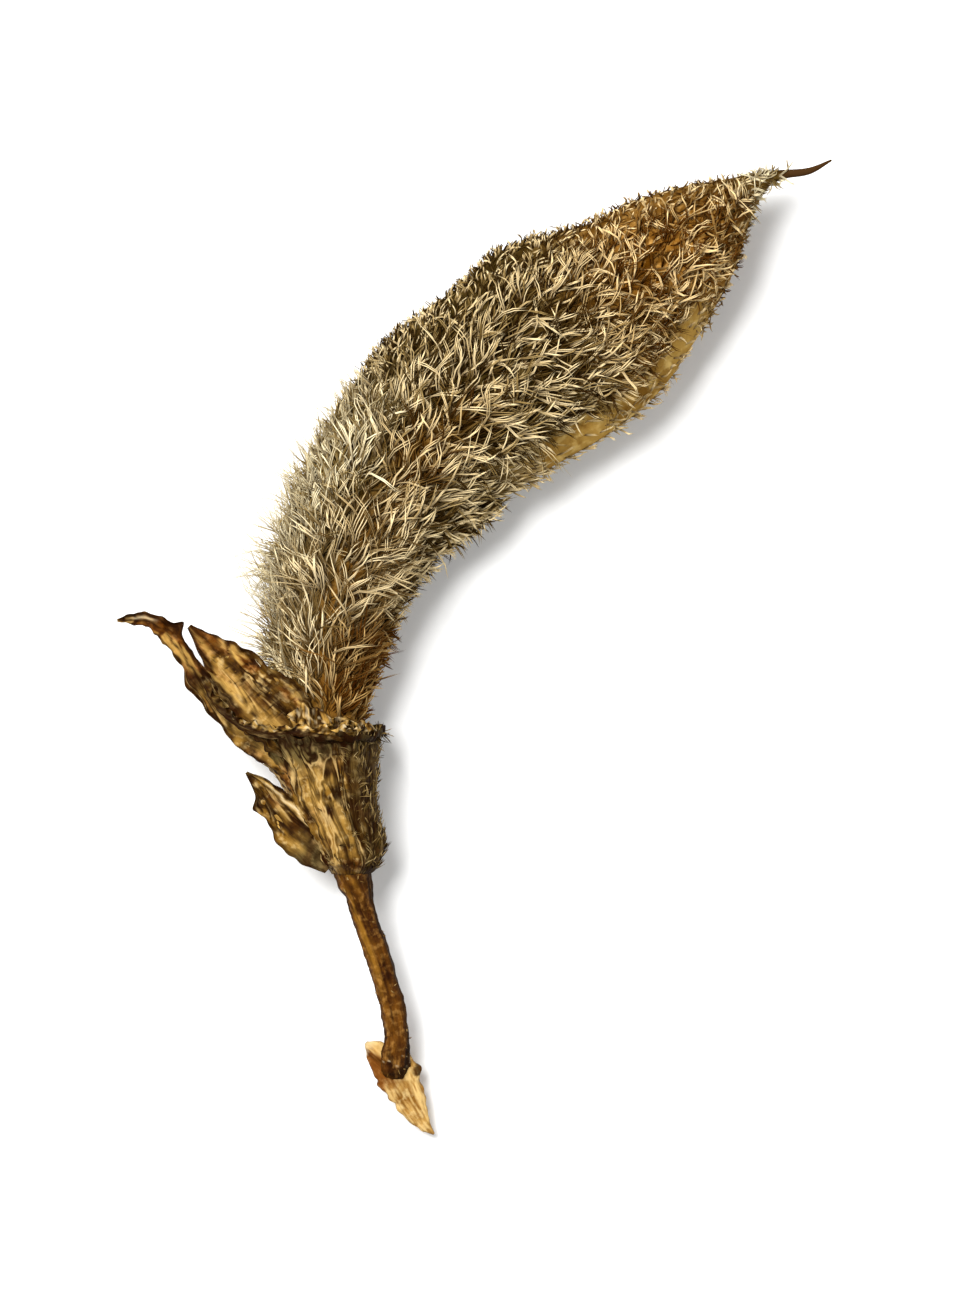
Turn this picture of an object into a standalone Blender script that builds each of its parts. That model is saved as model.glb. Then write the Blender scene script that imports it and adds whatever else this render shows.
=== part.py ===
"""A ripe garden lupin pod as picked: the hairy legume, its dry calyx, a bracteole, the stalk and a heel.

It lies on one broad face. +Z is up, +Y runs from the torn heel towards the pod's tip, and the origin is the
middle of the small flat spot on which the pod rests. Every solid is a loft: a closed section carried along
a smooth line through a few stations. Positions below are in millimetres from the heel's tip.
"""

import math

import bmesh
import bpy
import numpy as np

MM = 0.001
REST_X = 3.2
REST_Y = 28.4
GAP = 0.1
TURN = 2 * math.pi

# Each station is x, y, height above the surface, half width across the line, half depth through it.
POD_STATIONS = (
    (-3.30, 12.60, 2.15, 0.55, 0.50),
    (-3.45, 13.70, 2.15, 1.00, 0.95),
    (-3.62, 15.20, 2.18, 1.30, 1.20),
    (-3.60, 17.00, 2.20, 1.85, 1.45),
    (-3.25, 19.20, 2.20, 2.20, 1.75),
    (-2.20, 22.30, 2.20, 2.78, 2.15),
    (0.20, 25.90, 2.20, 3.45, 2.36),
    (3.45, 28.60, 2.20, 3.92, 2.42),
    (6.60, 30.50, 2.20, 3.72, 2.38),
    (9.35, 32.75, 2.20, 2.62, 1.95),
    (11.35, 34.55, 2.22, 1.32, 1.20),
    (12.60, 35.55, 2.25, 0.52, 0.50),
    (13.40, 35.98, 2.30, 0.27, 0.25),
    (14.45, 36.08, 2.42, 0.22, 0.21),
    (15.25, 36.42, 2.62, 0.16, 0.16),
)
POD_RINGS = 64
POD_SIDES = 32
LENS = 1.2
SEEDS = 5
FIRST_SEED = 18.6
SEED_PITCH = 3.9
SEED_RADIUS = 1.75
SEED_RISE = 0.28
SUTURE_RISE = 0.22
SUTURE_SPREAD = 0.30
SUTURE_FROM_Y = 16.5
SUTURE_TO_Y = 35.2
SUTURE_FADE_IN = 2.0
SUTURE_FADE_OUT = 1.5
SEED_LINE_ROWS = 256

CUP_STATIONS = (
    (-2.72, 9.72, 1.98, 0.82, 0.82),
    (-2.72, 10.15, 1.98, 1.12, 1.10),
    (-2.90, 11.00, 2.00, 1.26, 1.26),
    (-3.28, 12.40, 2.02, 1.60, 1.54),
    (-3.55, 13.60, 2.05, 1.90, 1.78),
    (-3.86, 14.70, 2.10, 2.26, 1.98),
    (-3.98, 15.45, 2.12, 2.40, 2.06),
)
SOCKET_STATIONS = (
    (-3.28, 12.30, 2.15, 0.50, 0.48),
    (-3.42, 13.30, 2.15, 1.02, 0.98),
    (-3.60, 14.80, 2.17, 1.42, 1.34),
    (-3.70, 15.60, 2.18, 1.78, 1.52),
    (-3.72, 16.60, 2.18, 2.05, 1.70),
)
BROAD_TOOTH = (
    (-4.55, 13.30, 3.05, 0.90, 0.30),
    (-5.35, 14.70, 3.05, 1.25, 0.30),
    (-6.25, 15.90, 3.10, 1.15, 0.30),
    (-7.20, 17.15, 3.20, 0.85, 0.30),
    (-8.00, 18.20, 3.35, 0.48, 0.30),
    (-8.60, 18.90, 3.45, 0.22, 0.26),
)
NARROW_TOOTH = (
    (-4.60, 13.55, 2.05, 0.75, 0.30),
    (-5.75, 14.60, 2.00, 0.72, 0.30),
    (-7.05, 15.45, 2.05, 0.62, 0.30),
    (-8.10, 16.60, 2.25, 0.48, 0.30),
    (-8.90, 17.80, 2.60, 0.36, 0.30),
    (-9.45, 18.75, 2.95, 0.33, 0.30),
    (-10.15, 19.18, 3.05, 0.30, 0.28),
    (-10.85, 19.22, 2.85, 0.26, 0.26),
    (-11.40, 19.18, 2.60, 0.20, 0.22),
)
BRACTEOLE_STATIONS = (
    (-3.30, 10.10, 1.70, 0.55, 0.34),
    (-4.15, 10.70, 1.65, 0.72, 0.32),
    (-4.95, 11.40, 1.70, 0.70, 0.30),
    (-5.65, 12.20, 1.85, 0.58, 0.30),
    (-6.20, 12.90, 2.05, 0.36, 0.30),
    (-6.55, 13.40, 2.20, 0.18, 0.24),
)
PEDICEL_STATIONS = (
    (-2.66, 9.60, 1.97, 0.72, 0.66),
    (-2.52, 9.05, 1.94, 0.60, 0.56),
    (-2.18, 7.90, 1.86, 0.48, 0.46),
    (-1.62, 6.30, 1.70, 0.46, 0.44),
    (-1.16, 4.70, 1.50, 0.46, 0.44),
    (-0.98, 3.50, 1.32, 0.46, 0.45),
    (-1.02, 2.70, 1.18, 0.54, 0.50),
    (-1.02, 2.20, 1.08, 0.46, 0.40),
)
HEEL_STATIONS = (
    (-2.02, 3.20, 0.95, 0.14, 0.22),
    (-1.72, 2.90, 0.92, 0.40, 0.30),
    (-1.15, 2.20, 0.80, 0.88, 0.36),
    (-0.62, 1.40, 0.62, 0.70, 0.36),
    (-0.12, 0.66, 0.48, 0.42, 0.32),
    (0.30, 0.06, 0.36, 0.14, 0.24),
)

BLADE_POWER = 0.45
BLADE_RINGS = 18
BLADE_SIDES = 16
BLADE_LEAST_WIDTH = 0.2
BROAD_TOOTH_CURL = 0.35
NARROW_TOOTH_CURL = 0.30
BRACTEOLE_CURL = 0.30
HEEL_CURL = 0.15
ROUND_RINGS = 22
ROUND_SIDES = 24
CALYX_RIBS = 9
CALYX_RIB_RISE = 0.06
RIM_WAVES = 5
RIM_WAVE = 0.22
RIM_SLANT = 0.35
RIM_SHARE = 0.30
PEDICEL_RIBS = 7
PEDICEL_RIB_RISE = 0.025

POD_COLOUR = (0.30, 0.23, 0.12)
CALYX_COLOUR = (0.34, 0.20, 0.07)
BRACTEOLE_COLOUR = (0.38, 0.22, 0.08)
PEDICEL_COLOUR = (0.26, 0.14, 0.04)
HEEL_COLOUR = (0.78, 0.56, 0.28)
HAIRY_ROUGHNESS = 0.9
PAPER_ROUGHNESS = 0.75
BARK_ROUGHNESS = 0.6


def clear_scene():
    for obj in list(bpy.data.objects):
        bpy.data.objects.remove(obj)


def smooth_rows(stations, count):
    """Rows read evenly from a Catmull-Rom curve, which passes through every station."""
    rows = np.array(stations, float)
    rows = np.vstack([2 * rows[0] - rows[1], rows, 2 * rows[-1] - rows[-2]])
    spans = len(rows) - 3
    place = np.linspace(0, spans, count)
    span = np.minimum(place.astype(int), spans - 1)
    t = (place - span)[:, None]
    p0, p1, p2, p3 = (rows[span + k] for k in range(4))
    return 0.5 * (
        2 * p1 + (p2 - p0) * t + (2 * p0 - 5 * p1 + 4 * p2 - p3) * t**2 + (3 * p1 - p0 - 3 * p2 + p3) * t**3
    )


def section_axes(centres):
    """Unit vectors at each ring: across the line in the surface's plane, and through it."""
    along = np.gradient(centres, axis=0)
    along /= np.linalg.norm(along, axis=1)[:, None]
    across = np.stack([along[:, 1], -along[:, 0], np.zeros(len(along))], axis=1)
    across /= np.linalg.norm(across, axis=1)[:, None]
    through = np.cross(across, along)
    return across, through


def powered(value, power):
    return np.sign(value) * np.abs(value) ** power


def loft_points(rows, sides, through_power=1.0, grow=0.0, curl=0.0):
    """Points of a loft, ring by ring. A section is a superellipse, bent into a gutter by curl."""
    angle = np.linspace(0, TURN, sides, endpoint=False)
    centres = rows[:, :3]
    across, through = section_axes(centres)
    side = np.cos(angle)[None, :] * (rows[:, 3:4] + grow)
    rise = powered(np.sin(angle), through_power)[None, :] * (rows[:, 4:5] + grow)
    rise = rise + curl * side**2 / np.maximum(rows[:, 3:4], BLADE_LEAST_WIDTH)
    return centres[:, None] + side[..., None] * across[:, None] + rise[..., None] * through[:, None]


def solid_from_rings(name, points, colour=None, roughness=PAPER_ROUGHNESS):
    """An object from rings of points in millimetres, closed by a fan at each end."""
    sides = points.shape[1]
    place = points - np.array([REST_X, REST_Y, 0.0])
    mesh = bpy.data.meshes.new(name)
    work = bmesh.new()
    grid = [[work.verts.new(p * MM) for p in ring] for ring in place]
    ends = [work.verts.new(ring.mean(axis=0) * MM) for ring in (place[0], place[-1])]
    for low, high in zip(grid, grid[1:]):
        for k in range(sides):
            after = (k + 1) % sides
            work.faces.new((low[k], low[after], high[after], high[k]))
    for k in range(sides):
        after = (k + 1) % sides
        work.faces.new((ends[0], grid[0][after], grid[0][k]))
        work.faces.new((ends[1], grid[-1][k], grid[-1][after]))
    bmesh.ops.triangulate(work, faces=work.faces[:])
    bmesh.ops.recalc_face_normals(work, faces=work.faces[:])
    work.to_mesh(mesh)
    work.free()
    mesh.shade_smooth()
    obj = bpy.data.objects.new(name, mesh)
    bpy.context.scene.collection.objects.link(obj)
    if colour:
        mesh.materials.append(finish(name, colour, roughness))
    return obj


def finish(name, colour, roughness):
    material = bpy.data.materials.new(name)
    material.use_nodes = True
    shader = material.node_tree.nodes["Principled BSDF"]
    shader.inputs["Base Color"].default_value = (*colour, 1.0)
    shader.inputs["Roughness"].default_value = roughness
    shader.inputs["Metallic"].default_value = 0.0
    return material


def as_helper(obj):
    obj.hide_render = True
    obj.display_type = "WIRE"
    return obj


def combine(obj, other, operation):
    modifier = obj.modifiers.new(f"{operation}_{other.name}", "BOOLEAN")
    modifier.operation = operation
    modifier.object = as_helper(other)
    modifier.solver = "EXACT"


def seed_swelling(points):
    """How far each point is lifted by the seeds under it, as round humps along the pod's middle line."""
    rows = smooth_rows(POD_STATIONS, SEED_LINE_ROWS)
    run = np.concatenate([[0], np.cumsum(np.linalg.norm(np.diff(rows[:, :2], axis=0), axis=1))])
    start = np.interp(FIRST_SEED, rows[:, 1], run)
    lift = np.zeros(points.shape[:2])
    for k in range(SEEDS):
        at = start + k * SEED_PITCH
        x = np.interp(at, run, rows[:, 0])
        y = np.interp(at, run, rows[:, 1])
        distance = np.hypot(points[..., 0] - x, points[..., 1] - y)
        lift += np.exp(-((distance / SEED_RADIUS) ** 2))
    return lift


def pod_points():
    """The legume: lens-shaped sections with a raised suture at each edge, swollen over the seeds."""
    rows = smooth_rows(POD_STATIONS, POD_RINGS)
    points = loft_points(rows, POD_SIDES, through_power=LENS)
    angle = np.linspace(0, TURN, POD_SIDES, endpoint=False)
    to_edge = np.abs(np.sin(angle))
    ridge = SUTURE_RISE * np.exp(-((to_edge / SUTURE_SPREAD) ** 2)) * np.sign(np.cos(angle))
    fade_in = np.clip((rows[:, 1] - SUTURE_FROM_Y) / SUTURE_FADE_IN, 0, 1)
    fade_out = np.clip((SUTURE_TO_Y - rows[:, 1]) / SUTURE_FADE_OUT, 0, 1)
    across, _ = section_axes(rows[:, :3])
    points += ((fade_in * fade_out)[:, None] * ridge[None, :])[..., None] * across[:, None]
    points[..., 2] += SEED_RISE * seed_swelling(points) * np.sin(angle)[None, :]
    points[..., 2] = np.maximum(points[..., 2], 0.0)
    return points


def ribbed(rows, sides, ribs, rise, grow=0.0):
    """A round loft whose skin is drawn into low lengthwise ribs."""
    angle = np.linspace(0, TURN, sides, endpoint=False)
    points = loft_points(rows, sides, grow=grow)
    centres = rows[:, None, :3]
    return centres + (points - centres) * (1 + rise * np.cos(ribs * angle))[None, :, None]


def cup_points(grow=0.0):
    """The ribbed cup. Its rim rises and falls in waves, and stands lower on the side that faces up."""
    rows = smooth_rows(CUP_STATIONS, ROUND_RINGS)
    points = ribbed(rows, ROUND_SIDES, CALYX_RIBS, CALYX_RIB_RISE, grow)
    angle = np.linspace(0, TURN, ROUND_SIDES, endpoint=False)
    shift = RIM_WAVE * np.cos(RIM_WAVES * angle) - RIM_SLANT * np.sin(angle)
    height = np.linspace(0, 1, ROUND_RINGS)
    share = np.clip((height - 1 + RIM_SHARE) / RIM_SHARE, 0, 1) ** 2
    points[..., 1] += share[:, None] * shift[None, :]
    return points


def blade(name, stations, curl, colour=None, roughness=PAPER_ROUGHNESS):
    rows = smooth_rows(stations, BLADE_RINGS)
    points = loft_points(rows, BLADE_SIDES, through_power=BLADE_POWER, curl=curl)
    return solid_from_rings(name, points, colour, roughness)


def make_pod():
    return solid_from_rings("pod", pod_points(), POD_COLOUR, HAIRY_ROUGHNESS)


def make_calyx():
    """A ribbed cup that runs out at its left into a broad and a narrow tooth, hollow for the neck."""
    calyx = solid_from_rings("calyx", cup_points(), CALYX_COLOUR)
    combine(calyx, blade("broad_tooth_shape", BROAD_TOOTH, BROAD_TOOTH_CURL), "UNION")
    combine(calyx, blade("narrow_tooth_shape", NARROW_TOOTH, NARROW_TOOTH_CURL), "UNION")
    socket = smooth_rows(SOCKET_STATIONS, ROUND_RINGS)
    combine(calyx, solid_from_rings("socket_shape", loft_points(socket, ROUND_SIDES)), "DIFFERENCE")
    neck = smooth_rows(POD_STATIONS, POD_RINGS)
    neck = neck[neck[:, 1] < REST_Y]
    combine(calyx, solid_from_rings("neck_room", loft_points(neck, POD_SIDES, grow=GAP)), "DIFFERENCE")
    return calyx


def make_bracteole():
    """A folded flap at the cup's foot, cut clear of the cup."""
    flap = blade("bracteole", BRACTEOLE_STATIONS, BRACTEOLE_CURL, BRACTEOLE_COLOUR)
    combine(flap, solid_from_rings("cup_room", cup_points(GAP)), "DIFFERENCE")
    return flap


def make_pedicel():
    rows = smooth_rows(PEDICEL_STATIONS, ROUND_RINGS)
    points = ribbed(rows, ROUND_SIDES, PEDICEL_RIBS, PEDICEL_RIB_RISE)
    return solid_from_rings("pedicel", points, PEDICEL_COLOUR, BARK_ROUGHNESS)


def make_heel():
    """The torn sliver of bark, with a seat where the stalk's foot grew on it."""
    heel = blade("heel", HEEL_STATIONS, HEEL_CURL, HEEL_COLOUR, BARK_ROUGHNESS)
    foot = smooth_rows(PEDICEL_STATIONS, ROUND_RINGS)
    room = ribbed(foot, ROUND_SIDES, PEDICEL_RIBS, PEDICEL_RIB_RISE, grow=GAP)
    combine(heel, solid_from_rings("foot_room", room), "DIFFERENCE")
    return heel


def main():
    clear_scene()
    make_pod()
    make_calyx()
    make_bracteole()
    make_pedicel()
    make_heel()


main()
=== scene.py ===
# %% [markdown]
# # A ripe garden lupin pod
#
# A dry legume, picked with its calyx and stalk, lies on a pale surface and is seen from straight above.
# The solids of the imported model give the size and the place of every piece. This notebook dresses them:
# each piece gets a finer skin that follows the same stations as its solid, then hairs, veins and colours.

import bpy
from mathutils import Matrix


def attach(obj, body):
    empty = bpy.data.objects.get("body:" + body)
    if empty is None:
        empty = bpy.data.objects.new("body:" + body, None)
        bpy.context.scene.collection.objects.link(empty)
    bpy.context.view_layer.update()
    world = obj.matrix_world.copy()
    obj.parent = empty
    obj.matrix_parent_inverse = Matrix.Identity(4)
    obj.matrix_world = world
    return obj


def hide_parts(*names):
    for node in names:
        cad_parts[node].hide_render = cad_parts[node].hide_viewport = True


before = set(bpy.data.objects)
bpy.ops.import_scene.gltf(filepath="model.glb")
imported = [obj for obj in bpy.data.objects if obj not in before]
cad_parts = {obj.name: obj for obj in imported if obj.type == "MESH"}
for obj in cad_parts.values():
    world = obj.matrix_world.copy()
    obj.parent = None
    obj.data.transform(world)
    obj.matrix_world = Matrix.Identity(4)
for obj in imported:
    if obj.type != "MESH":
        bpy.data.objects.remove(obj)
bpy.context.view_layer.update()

# %% [markdown]
# ## Smooth lines through a few stations
#
# All places below are in millimetres from the tip of the torn heel, x to the right and y towards the pod's
# tip. A piece is described by a few stations along its middle line, each with a place, a half width and a
# half depth. A curve that passes through all of them fills in the rest, so that a few numbers give a smooth
# shape.

# %% Units, random draws and smooth lines
import math

import bpy
import numpy as np
from mathutils import Vector

MM = 0.001
REST = np.array([3.2, 28.4, 0.0])  # the flat spot on which the pod rests, and the frame's origin
TURN = 2 * math.pi
SHORTEST = 1e-9


def read_line(stations, share):
    """Rows of a curve through all stations: each span blends its two stations and their neighbours by cubic
    weights (Catmull-Rom). share runs from 0 at the first station to 1 at the last."""
    rows = np.array(stations, float)
    rows = np.vstack([2 * rows[0] - rows[1], rows, 2 * rows[-1] - rows[-2]])
    spans = len(rows) - 3
    place = np.clip(np.asarray(share, float), 0, 1) * spans
    span = np.minimum(place.astype(int), spans - 1)
    t = (place - span)[..., None]
    p0, p1, p2, p3 = (rows[span + k] for k in range(4))
    return 0.5 * (
        2 * p1
        + (p2 - p0) * t
        + (2 * p0 - 5 * p1 + 4 * p2 - p3) * t**2
        + (3 * p1 - p0 - 3 * p2 + p3) * t**3
    )


def unit(vectors):
    """Each vector over its own length."""
    return vectors / np.maximum(np.linalg.norm(vectors, axis=-1, keepdims=True), SHORTEST)


def line_axes(stations, share, step=0.004):
    """Unit vectors at each place of a line: along it, across it in the surface's plane, and through it."""
    ahead = read_line(stations, np.minimum(share + step, 1))[..., :3]
    behind = read_line(stations, np.maximum(share - step, 0))[..., :3]
    along = unit(ahead - behind)
    across = unit(np.stack([along[..., 1], -along[..., 0], np.zeros(along.shape[:-1])], axis=-1))
    return along, across, np.cross(across, along)


def signed_power(value, power):
    """The size of a number raised to a power, with the number's own sign."""
    return np.sign(value) * np.abs(value) ** power


def smooth_step(value, low, high):
    """0 below low, 1 above high, and an S curve between, t times t times (3 - 2t)."""
    t = np.clip((value - low) / (high - low), 0, 1)
    return t * t * (3 - 2 * t)


def hill(value, at, size):
    """A bell of height 1: e to the minus squared distance over squared size."""
    return np.exp(-(((value - at) / size) ** 2))


def wander(places, size, seed, waves=14):
    """Smooth noise of about -1 to 1: a sum of plane waves with seeded headings, all about size mm long."""
    draw = np.random.default_rng(seed)
    heading = unit(draw.normal(size=(waves, 3)))
    count = TURN / (size * draw.uniform(0.7, 1.6, waves))
    start = draw.uniform(0, TURN, waves)
    phase = places @ (heading * count[:, None]).T + start
    return np.sin(phase).sum(axis=-1) / math.sqrt(waves / 2) * 0.6


def creases(places, size, seed):
    """Thin raised lines where the noise crosses zero: 1 minus its distance from zero, squared."""
    return np.clip(1 - 1.6 * np.abs(wander(places, size, seed)), 0, 1) ** 2


# %% [markdown]
# ## From a grid of points to a closed mesh
#
# Most pieces are a ring of points carried along a line. Joined ring to ring they make a tube of four-sided
# faces, and a fan at each end closes it. The points are worked out as whole arrays, so even fine skins take
# a moment. Each mesh keeps where a point lies along and around the piece, for grain and veins to follow.

# %% Make closed meshes from rings
BODY = "root"


def add_piece(name, points, faces, replaces=None):
    """A smooth mesh object from points in mm and arrays of faces, riding on the one body."""
    mesh = bpy.data.meshes.new(name)
    corners = np.concatenate([f.ravel() for f in faces]).astype(np.int32)
    sizes = np.concatenate([np.full(len(f), f.shape[1]) for f in faces]).astype(np.int32)
    mesh.vertices.add(len(points))
    mesh.vertices.foreach_set("co", ((points - REST) * MM).astype(np.float32).ravel())
    mesh.loops.add(len(corners))
    mesh.loops.foreach_set("vertex_index", corners)
    mesh.polygons.add(len(sizes))
    mesh.polygons.foreach_set("loop_start", np.concatenate([[0], np.cumsum(sizes)[:-1]]).astype(np.int32))
    mesh.update(calc_edges=True)
    mesh.shade_smooth()
    piece = bpy.data.objects.new(name, mesh)
    bpy.context.scene.collection.objects.link(piece)
    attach(piece, BODY)
    if replaces:
        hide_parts(replaces)
    return piece


def write_values(piece, **values):
    """Stores one number from 0 to 1 per point under each name, for the material to read."""
    for name, each in values.items():
        layer = piece.data.attributes.new(name, "FLOAT", "POINT")
        layer.data.foreach_set("value", np.ascontiguousarray(np.clip(each, 0, 1), np.float32).ravel())


def write_grain(piece, grain):
    """Stores where each point lies on the piece laid straight, in mm, for streaks that follow its length."""
    layer = piece.data.attributes.new("grain", "FLOAT_VECTOR", "POINT")
    layer.data.foreach_set("vector", np.ascontiguousarray(grain, np.float32).ravel())


def ring_quads(rings, sides):
    """Quads between neighbouring rings, facing outwards. The last ring joins the first again."""
    ring, side = np.meshgrid(np.arange(rings), np.arange(sides), indexing="ij")
    above, after = (ring + 1) % rings, (side + 1) % sides
    quads = [ring * sides + side, above * sides + side, above * sides + after, ring * sides + after]
    return np.stack(quads, -1)


def end_fans(rings, sides):
    """Two fans of triangles to the end points, which come last in the mesh."""
    k = np.arange(sides)
    after = (k + 1) % sides
    last = (rings - 1) * sides
    start = np.stack([np.full(sides, rings * sides), k, after], -1)
    end = np.stack([np.full(sides, rings * sides + 1), last + after, last + k], -1)
    return [start, end]


def with_ends(grid):
    """Flattens a grid of rings and adds the middle of its first and last ring."""
    flat = grid.reshape(-1, grid.shape[-1])
    return np.vstack([flat, grid[0].mean(axis=0), grid[-1].mean(axis=0)])


def add_rings(name, grid, slot, replaces=None, tyre=False, grain=None, **values):
    """A closed piece from rings of points: a tube with two ends, or a tyre that closes on itself. Each named
    value is a grid of numbers, one for each point."""
    rings, sides, _ = grid.shape
    quads = ring_quads(rings, sides)
    grain = grid if grain is None else grain
    values = {key: each + np.zeros((rings, sides)) for key, each in values.items()}
    if tyre:
        points, faces = grid.reshape(-1, 3), [quads.reshape(-1, 4)]
    else:
        points, grain = with_ends(grid), with_ends(grain)
        faces = [quads[:-1].reshape(-1, 4), *end_fans(rings, sides)]
        values = {key: with_ends(each[..., None]) for key, each in values.items()}
    piece = add_piece(name, points, faces, replaces)
    write_values(piece, **values)
    write_grain(piece, grain)
    low, high = np.round(points.min(0), 2), np.round(points.max(0), 2)
    print(f"{name}: {len(piece.data.polygons)} faces, from {low} to {high} mm")
    return piece


def skin_grid(rings, sides):
    """The share along and the angle around for every point of a tube."""
    share = np.linspace(0, 1, rings)[:, None] + np.zeros((1, sides))
    angle = np.linspace(0, TURN, sides, endpoint=False)[None, :] + np.zeros((rings, 1))
    return share, angle


FOLD_STRETCH, CRACK_STRETCH = 0.16, 0.5


def straight_grain(angle, share, radius, length):
    """The piece as a straight tube: round with the radius, and share times length along."""
    return np.stack([radius * np.cos(angle), radius * np.sin(angle), length * share + 0 * angle], -1)


def long_folds(grain, size, seed):
    """Noise drawn out six times along the piece, so that its hills become lengthwise folds."""
    return wander(grain * (1, 1, FOLD_STRETCH), size, seed)


def crackle(grain, size, seed):
    """Thin creases that run here and there, twice as long as wide, and fade where a second noise is low."""
    lines = creases(grain * (1, 1, CRACK_STRETCH), size, seed)
    return lines * smooth_step(wander(grain, 1.3 * size, seed + 50), -0.5, 0.5)


# %% [markdown]
# ## The pod's skin
#
# The legume is a flat lens in section, with a thickened seam, or suture, at each edge. Five seeds show as low
# swellings of both faces. The skin is one tube from the neck to the thread of the old style at the tip.

# %% The pod's stations and the formula of its skin
# Each station is x, y, height above the surface, half width across the line and half depth through it.
POD = (
    (-3.30, 12.60, 2.15, 0.55, 0.50),
    (-3.45, 13.70, 2.15, 1.00, 0.95),
    (-3.62, 15.20, 2.18, 1.30, 1.20),
    (-3.60, 17.00, 2.20, 1.85, 1.45),
    (-3.25, 19.20, 2.20, 2.20, 1.75),
    (-2.20, 22.30, 2.20, 2.78, 2.15),
    (0.20, 25.90, 2.20, 3.45, 2.36),
    (3.45, 28.60, 2.20, 3.92, 2.42),
    (6.60, 30.50, 2.20, 3.72, 2.38),
    (9.35, 32.75, 2.20, 2.62, 1.95),
    (11.35, 34.55, 2.22, 1.32, 1.20),
    (12.60, 35.55, 2.25, 0.42, 0.42),
    (13.40, 35.84, 2.30, 0.19, 0.19),
    (14.45, 35.98, 2.42, 0.13, 0.13),
    (15.30, 36.38, 2.62, 0.04, 0.04),
)
LENS = 1.2
SEEDS = ((-3.39, 18.6), (-2.24, 22.2), (-0.30, 25.4), (2.65, 28.0), (6.05, 30.0))
SEED_SIZE, SEED_RISE = 1.75, 0.28
SUTURE_SPREAD, SUTURE_RISE = 0.30, 0.22
WRINKLE = 0.06
POD_RINGS, POD_SIDES = 240, 80
# How far the skin is drawn in, in mm, at places along the back and along the front edge.
BACK_X = (-5.5, -4, -2.5, -1, 0.5, 1.8, 2.6, 3.6, 6, 8, 10, 12)
BACK_IN = (0.36, 0.22, 0.28, 0.22, 0.45, 0.42, 0.08, 0.16, 0.42, 0.18, 0.10, 0.05)
FRONT_Y = (15, 17, 20, 21.4, 22.2, 24, 25.8, 29, 31, 33, 35)
FRONT_IN = (-0.05, 0.34, 0.50, 0.55, 0.36, 0.34, 0.18, 0.44, 0.38, 0.28, 0.16)


def round_hill(points, x, y, size):
    """A round hill of height 1, seen from above."""
    return hill(points[..., 0], x, size) * hill(points[..., 1], y, size)


def pod_skin(share, angle):
    """The section at share has half width w and half depth d. A point sits w cos(angle) to the side and
    d |sin(angle)|^1.2 up or down, plus a ridge where the two faces meet and a hill over each seed. The dried
    edges are drawn in by a little that changes along them, which gives the back its blunt corner."""
    rows = read_line(POD, share)
    _, across, through = line_axes(POD, share)
    side, up = np.cos(angle), np.sin(angle)
    on_pod = smooth_step(rows[..., 1], 16.5, 18.5) * (1 - smooth_step(rows[..., 1], 33.7, 35.2))
    ridge = SUTURE_RISE * hill(up, 0, SUTURE_SPREAD) * np.sign(side) * on_pod
    back_x = rows[..., 0] - rows[..., 3] * across[..., 0]
    front_y = rows[..., 1] + rows[..., 3] * across[..., 1]
    drawn_in = np.where(side < 0, -np.interp(back_x, BACK_X, BACK_IN), np.interp(front_y, FRONT_Y, FRONT_IN))
    before_style = 1 - smooth_step(rows[..., 0], 11.8, 12.8)
    ridge = ridge - drawn_in * smooth_step(np.abs(side), 0.1, 0.9) * before_style
    deep = signed_power(up, LENS) * rows[..., 4]
    points = rows[..., :3] + (rows[..., 3] * side + ridge)[..., None] * across + deep[..., None] * through
    hills = sum(round_hill(points, *seed, SEED_SIZE) for seed in SEEDS)
    folds = WRINKLE * on_pod * (wander(points, 1.1, 4) + 0.6 * wander(points, 0.4, 5))
    points[..., 2] += (SEED_RISE * hills + folds) * up
    points[..., 2] = np.maximum(points[..., 2], 0.0)
    return points


def pod_region(points):
    """Shares from 0 to 1: warm where the skin is orange-brown, near the tip and along the parting, neck where
    it is brown at the neck, bare along the golden front seam, and thread on the dark style."""
    x, y = points[..., 0], points[..., 1]
    middle = np.interp(y, (15.2, 17.0, 19.2, 22.3, 25.9, 28.6), (-3.6, -3.6, -3.2, -2.2, 0.2, 3.4))
    warm = 0.95 * round_hill(points, 7.8, 32.3, 2.5) + 0.75 * round_hill(points, 11.0, 33.2, 2.4)
    warm = warm + 0.55 * hill(x, middle + 0.2, 0.9) * (1 - smooth_step(y, 25.5, 28.0))
    warm = warm + 0.35 * round_hill(points, -4.2, 18.6, 2.2) + 0.5 * round_hill(points, 8.2, 28.4, 1.8)
    neck = (1 - smooth_step(y, 17.8, 19.8)) * smooth_step(x, -4.4, -3.2)
    seam = np.interp(x, (3.2, 4.5, 6.8, 8.5, 10.0, 11.2), (23.7, 24.6, 25.8, 27.1, 29.4, 31.2))
    bare = smooth_step(seam + 1.70 - y, 0, 0.6) * smooth_step(x, 1.6, 4.4) * (1 - smooth_step(x, 9.8, 11.4))
    thread = smooth_step(x, 13.2, 13.9)
    return np.clip(warm, 0, 1), neck, bare, thread


# %% Build the skin
pod_share, pod_angle = skin_grid(POD_RINGS, POD_SIDES)
pod_points = pod_skin(pod_share, pod_angle)
pod_warm, pod_neck, pod_bare, pod_thread = pod_region(pod_points)
pod_bare = pod_bare * smooth_step(np.sin(pod_angle) + 0.18 * wander(pod_points, 1.0, 9), -0.30, 0.05)
pod = add_rings(
    "pod_skin", pod_points, "pod", "pod",
    warm=np.maximum(pod_warm, 0.5 * pod_neck), bare=pod_bare, thread=pod_thread,
)

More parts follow.
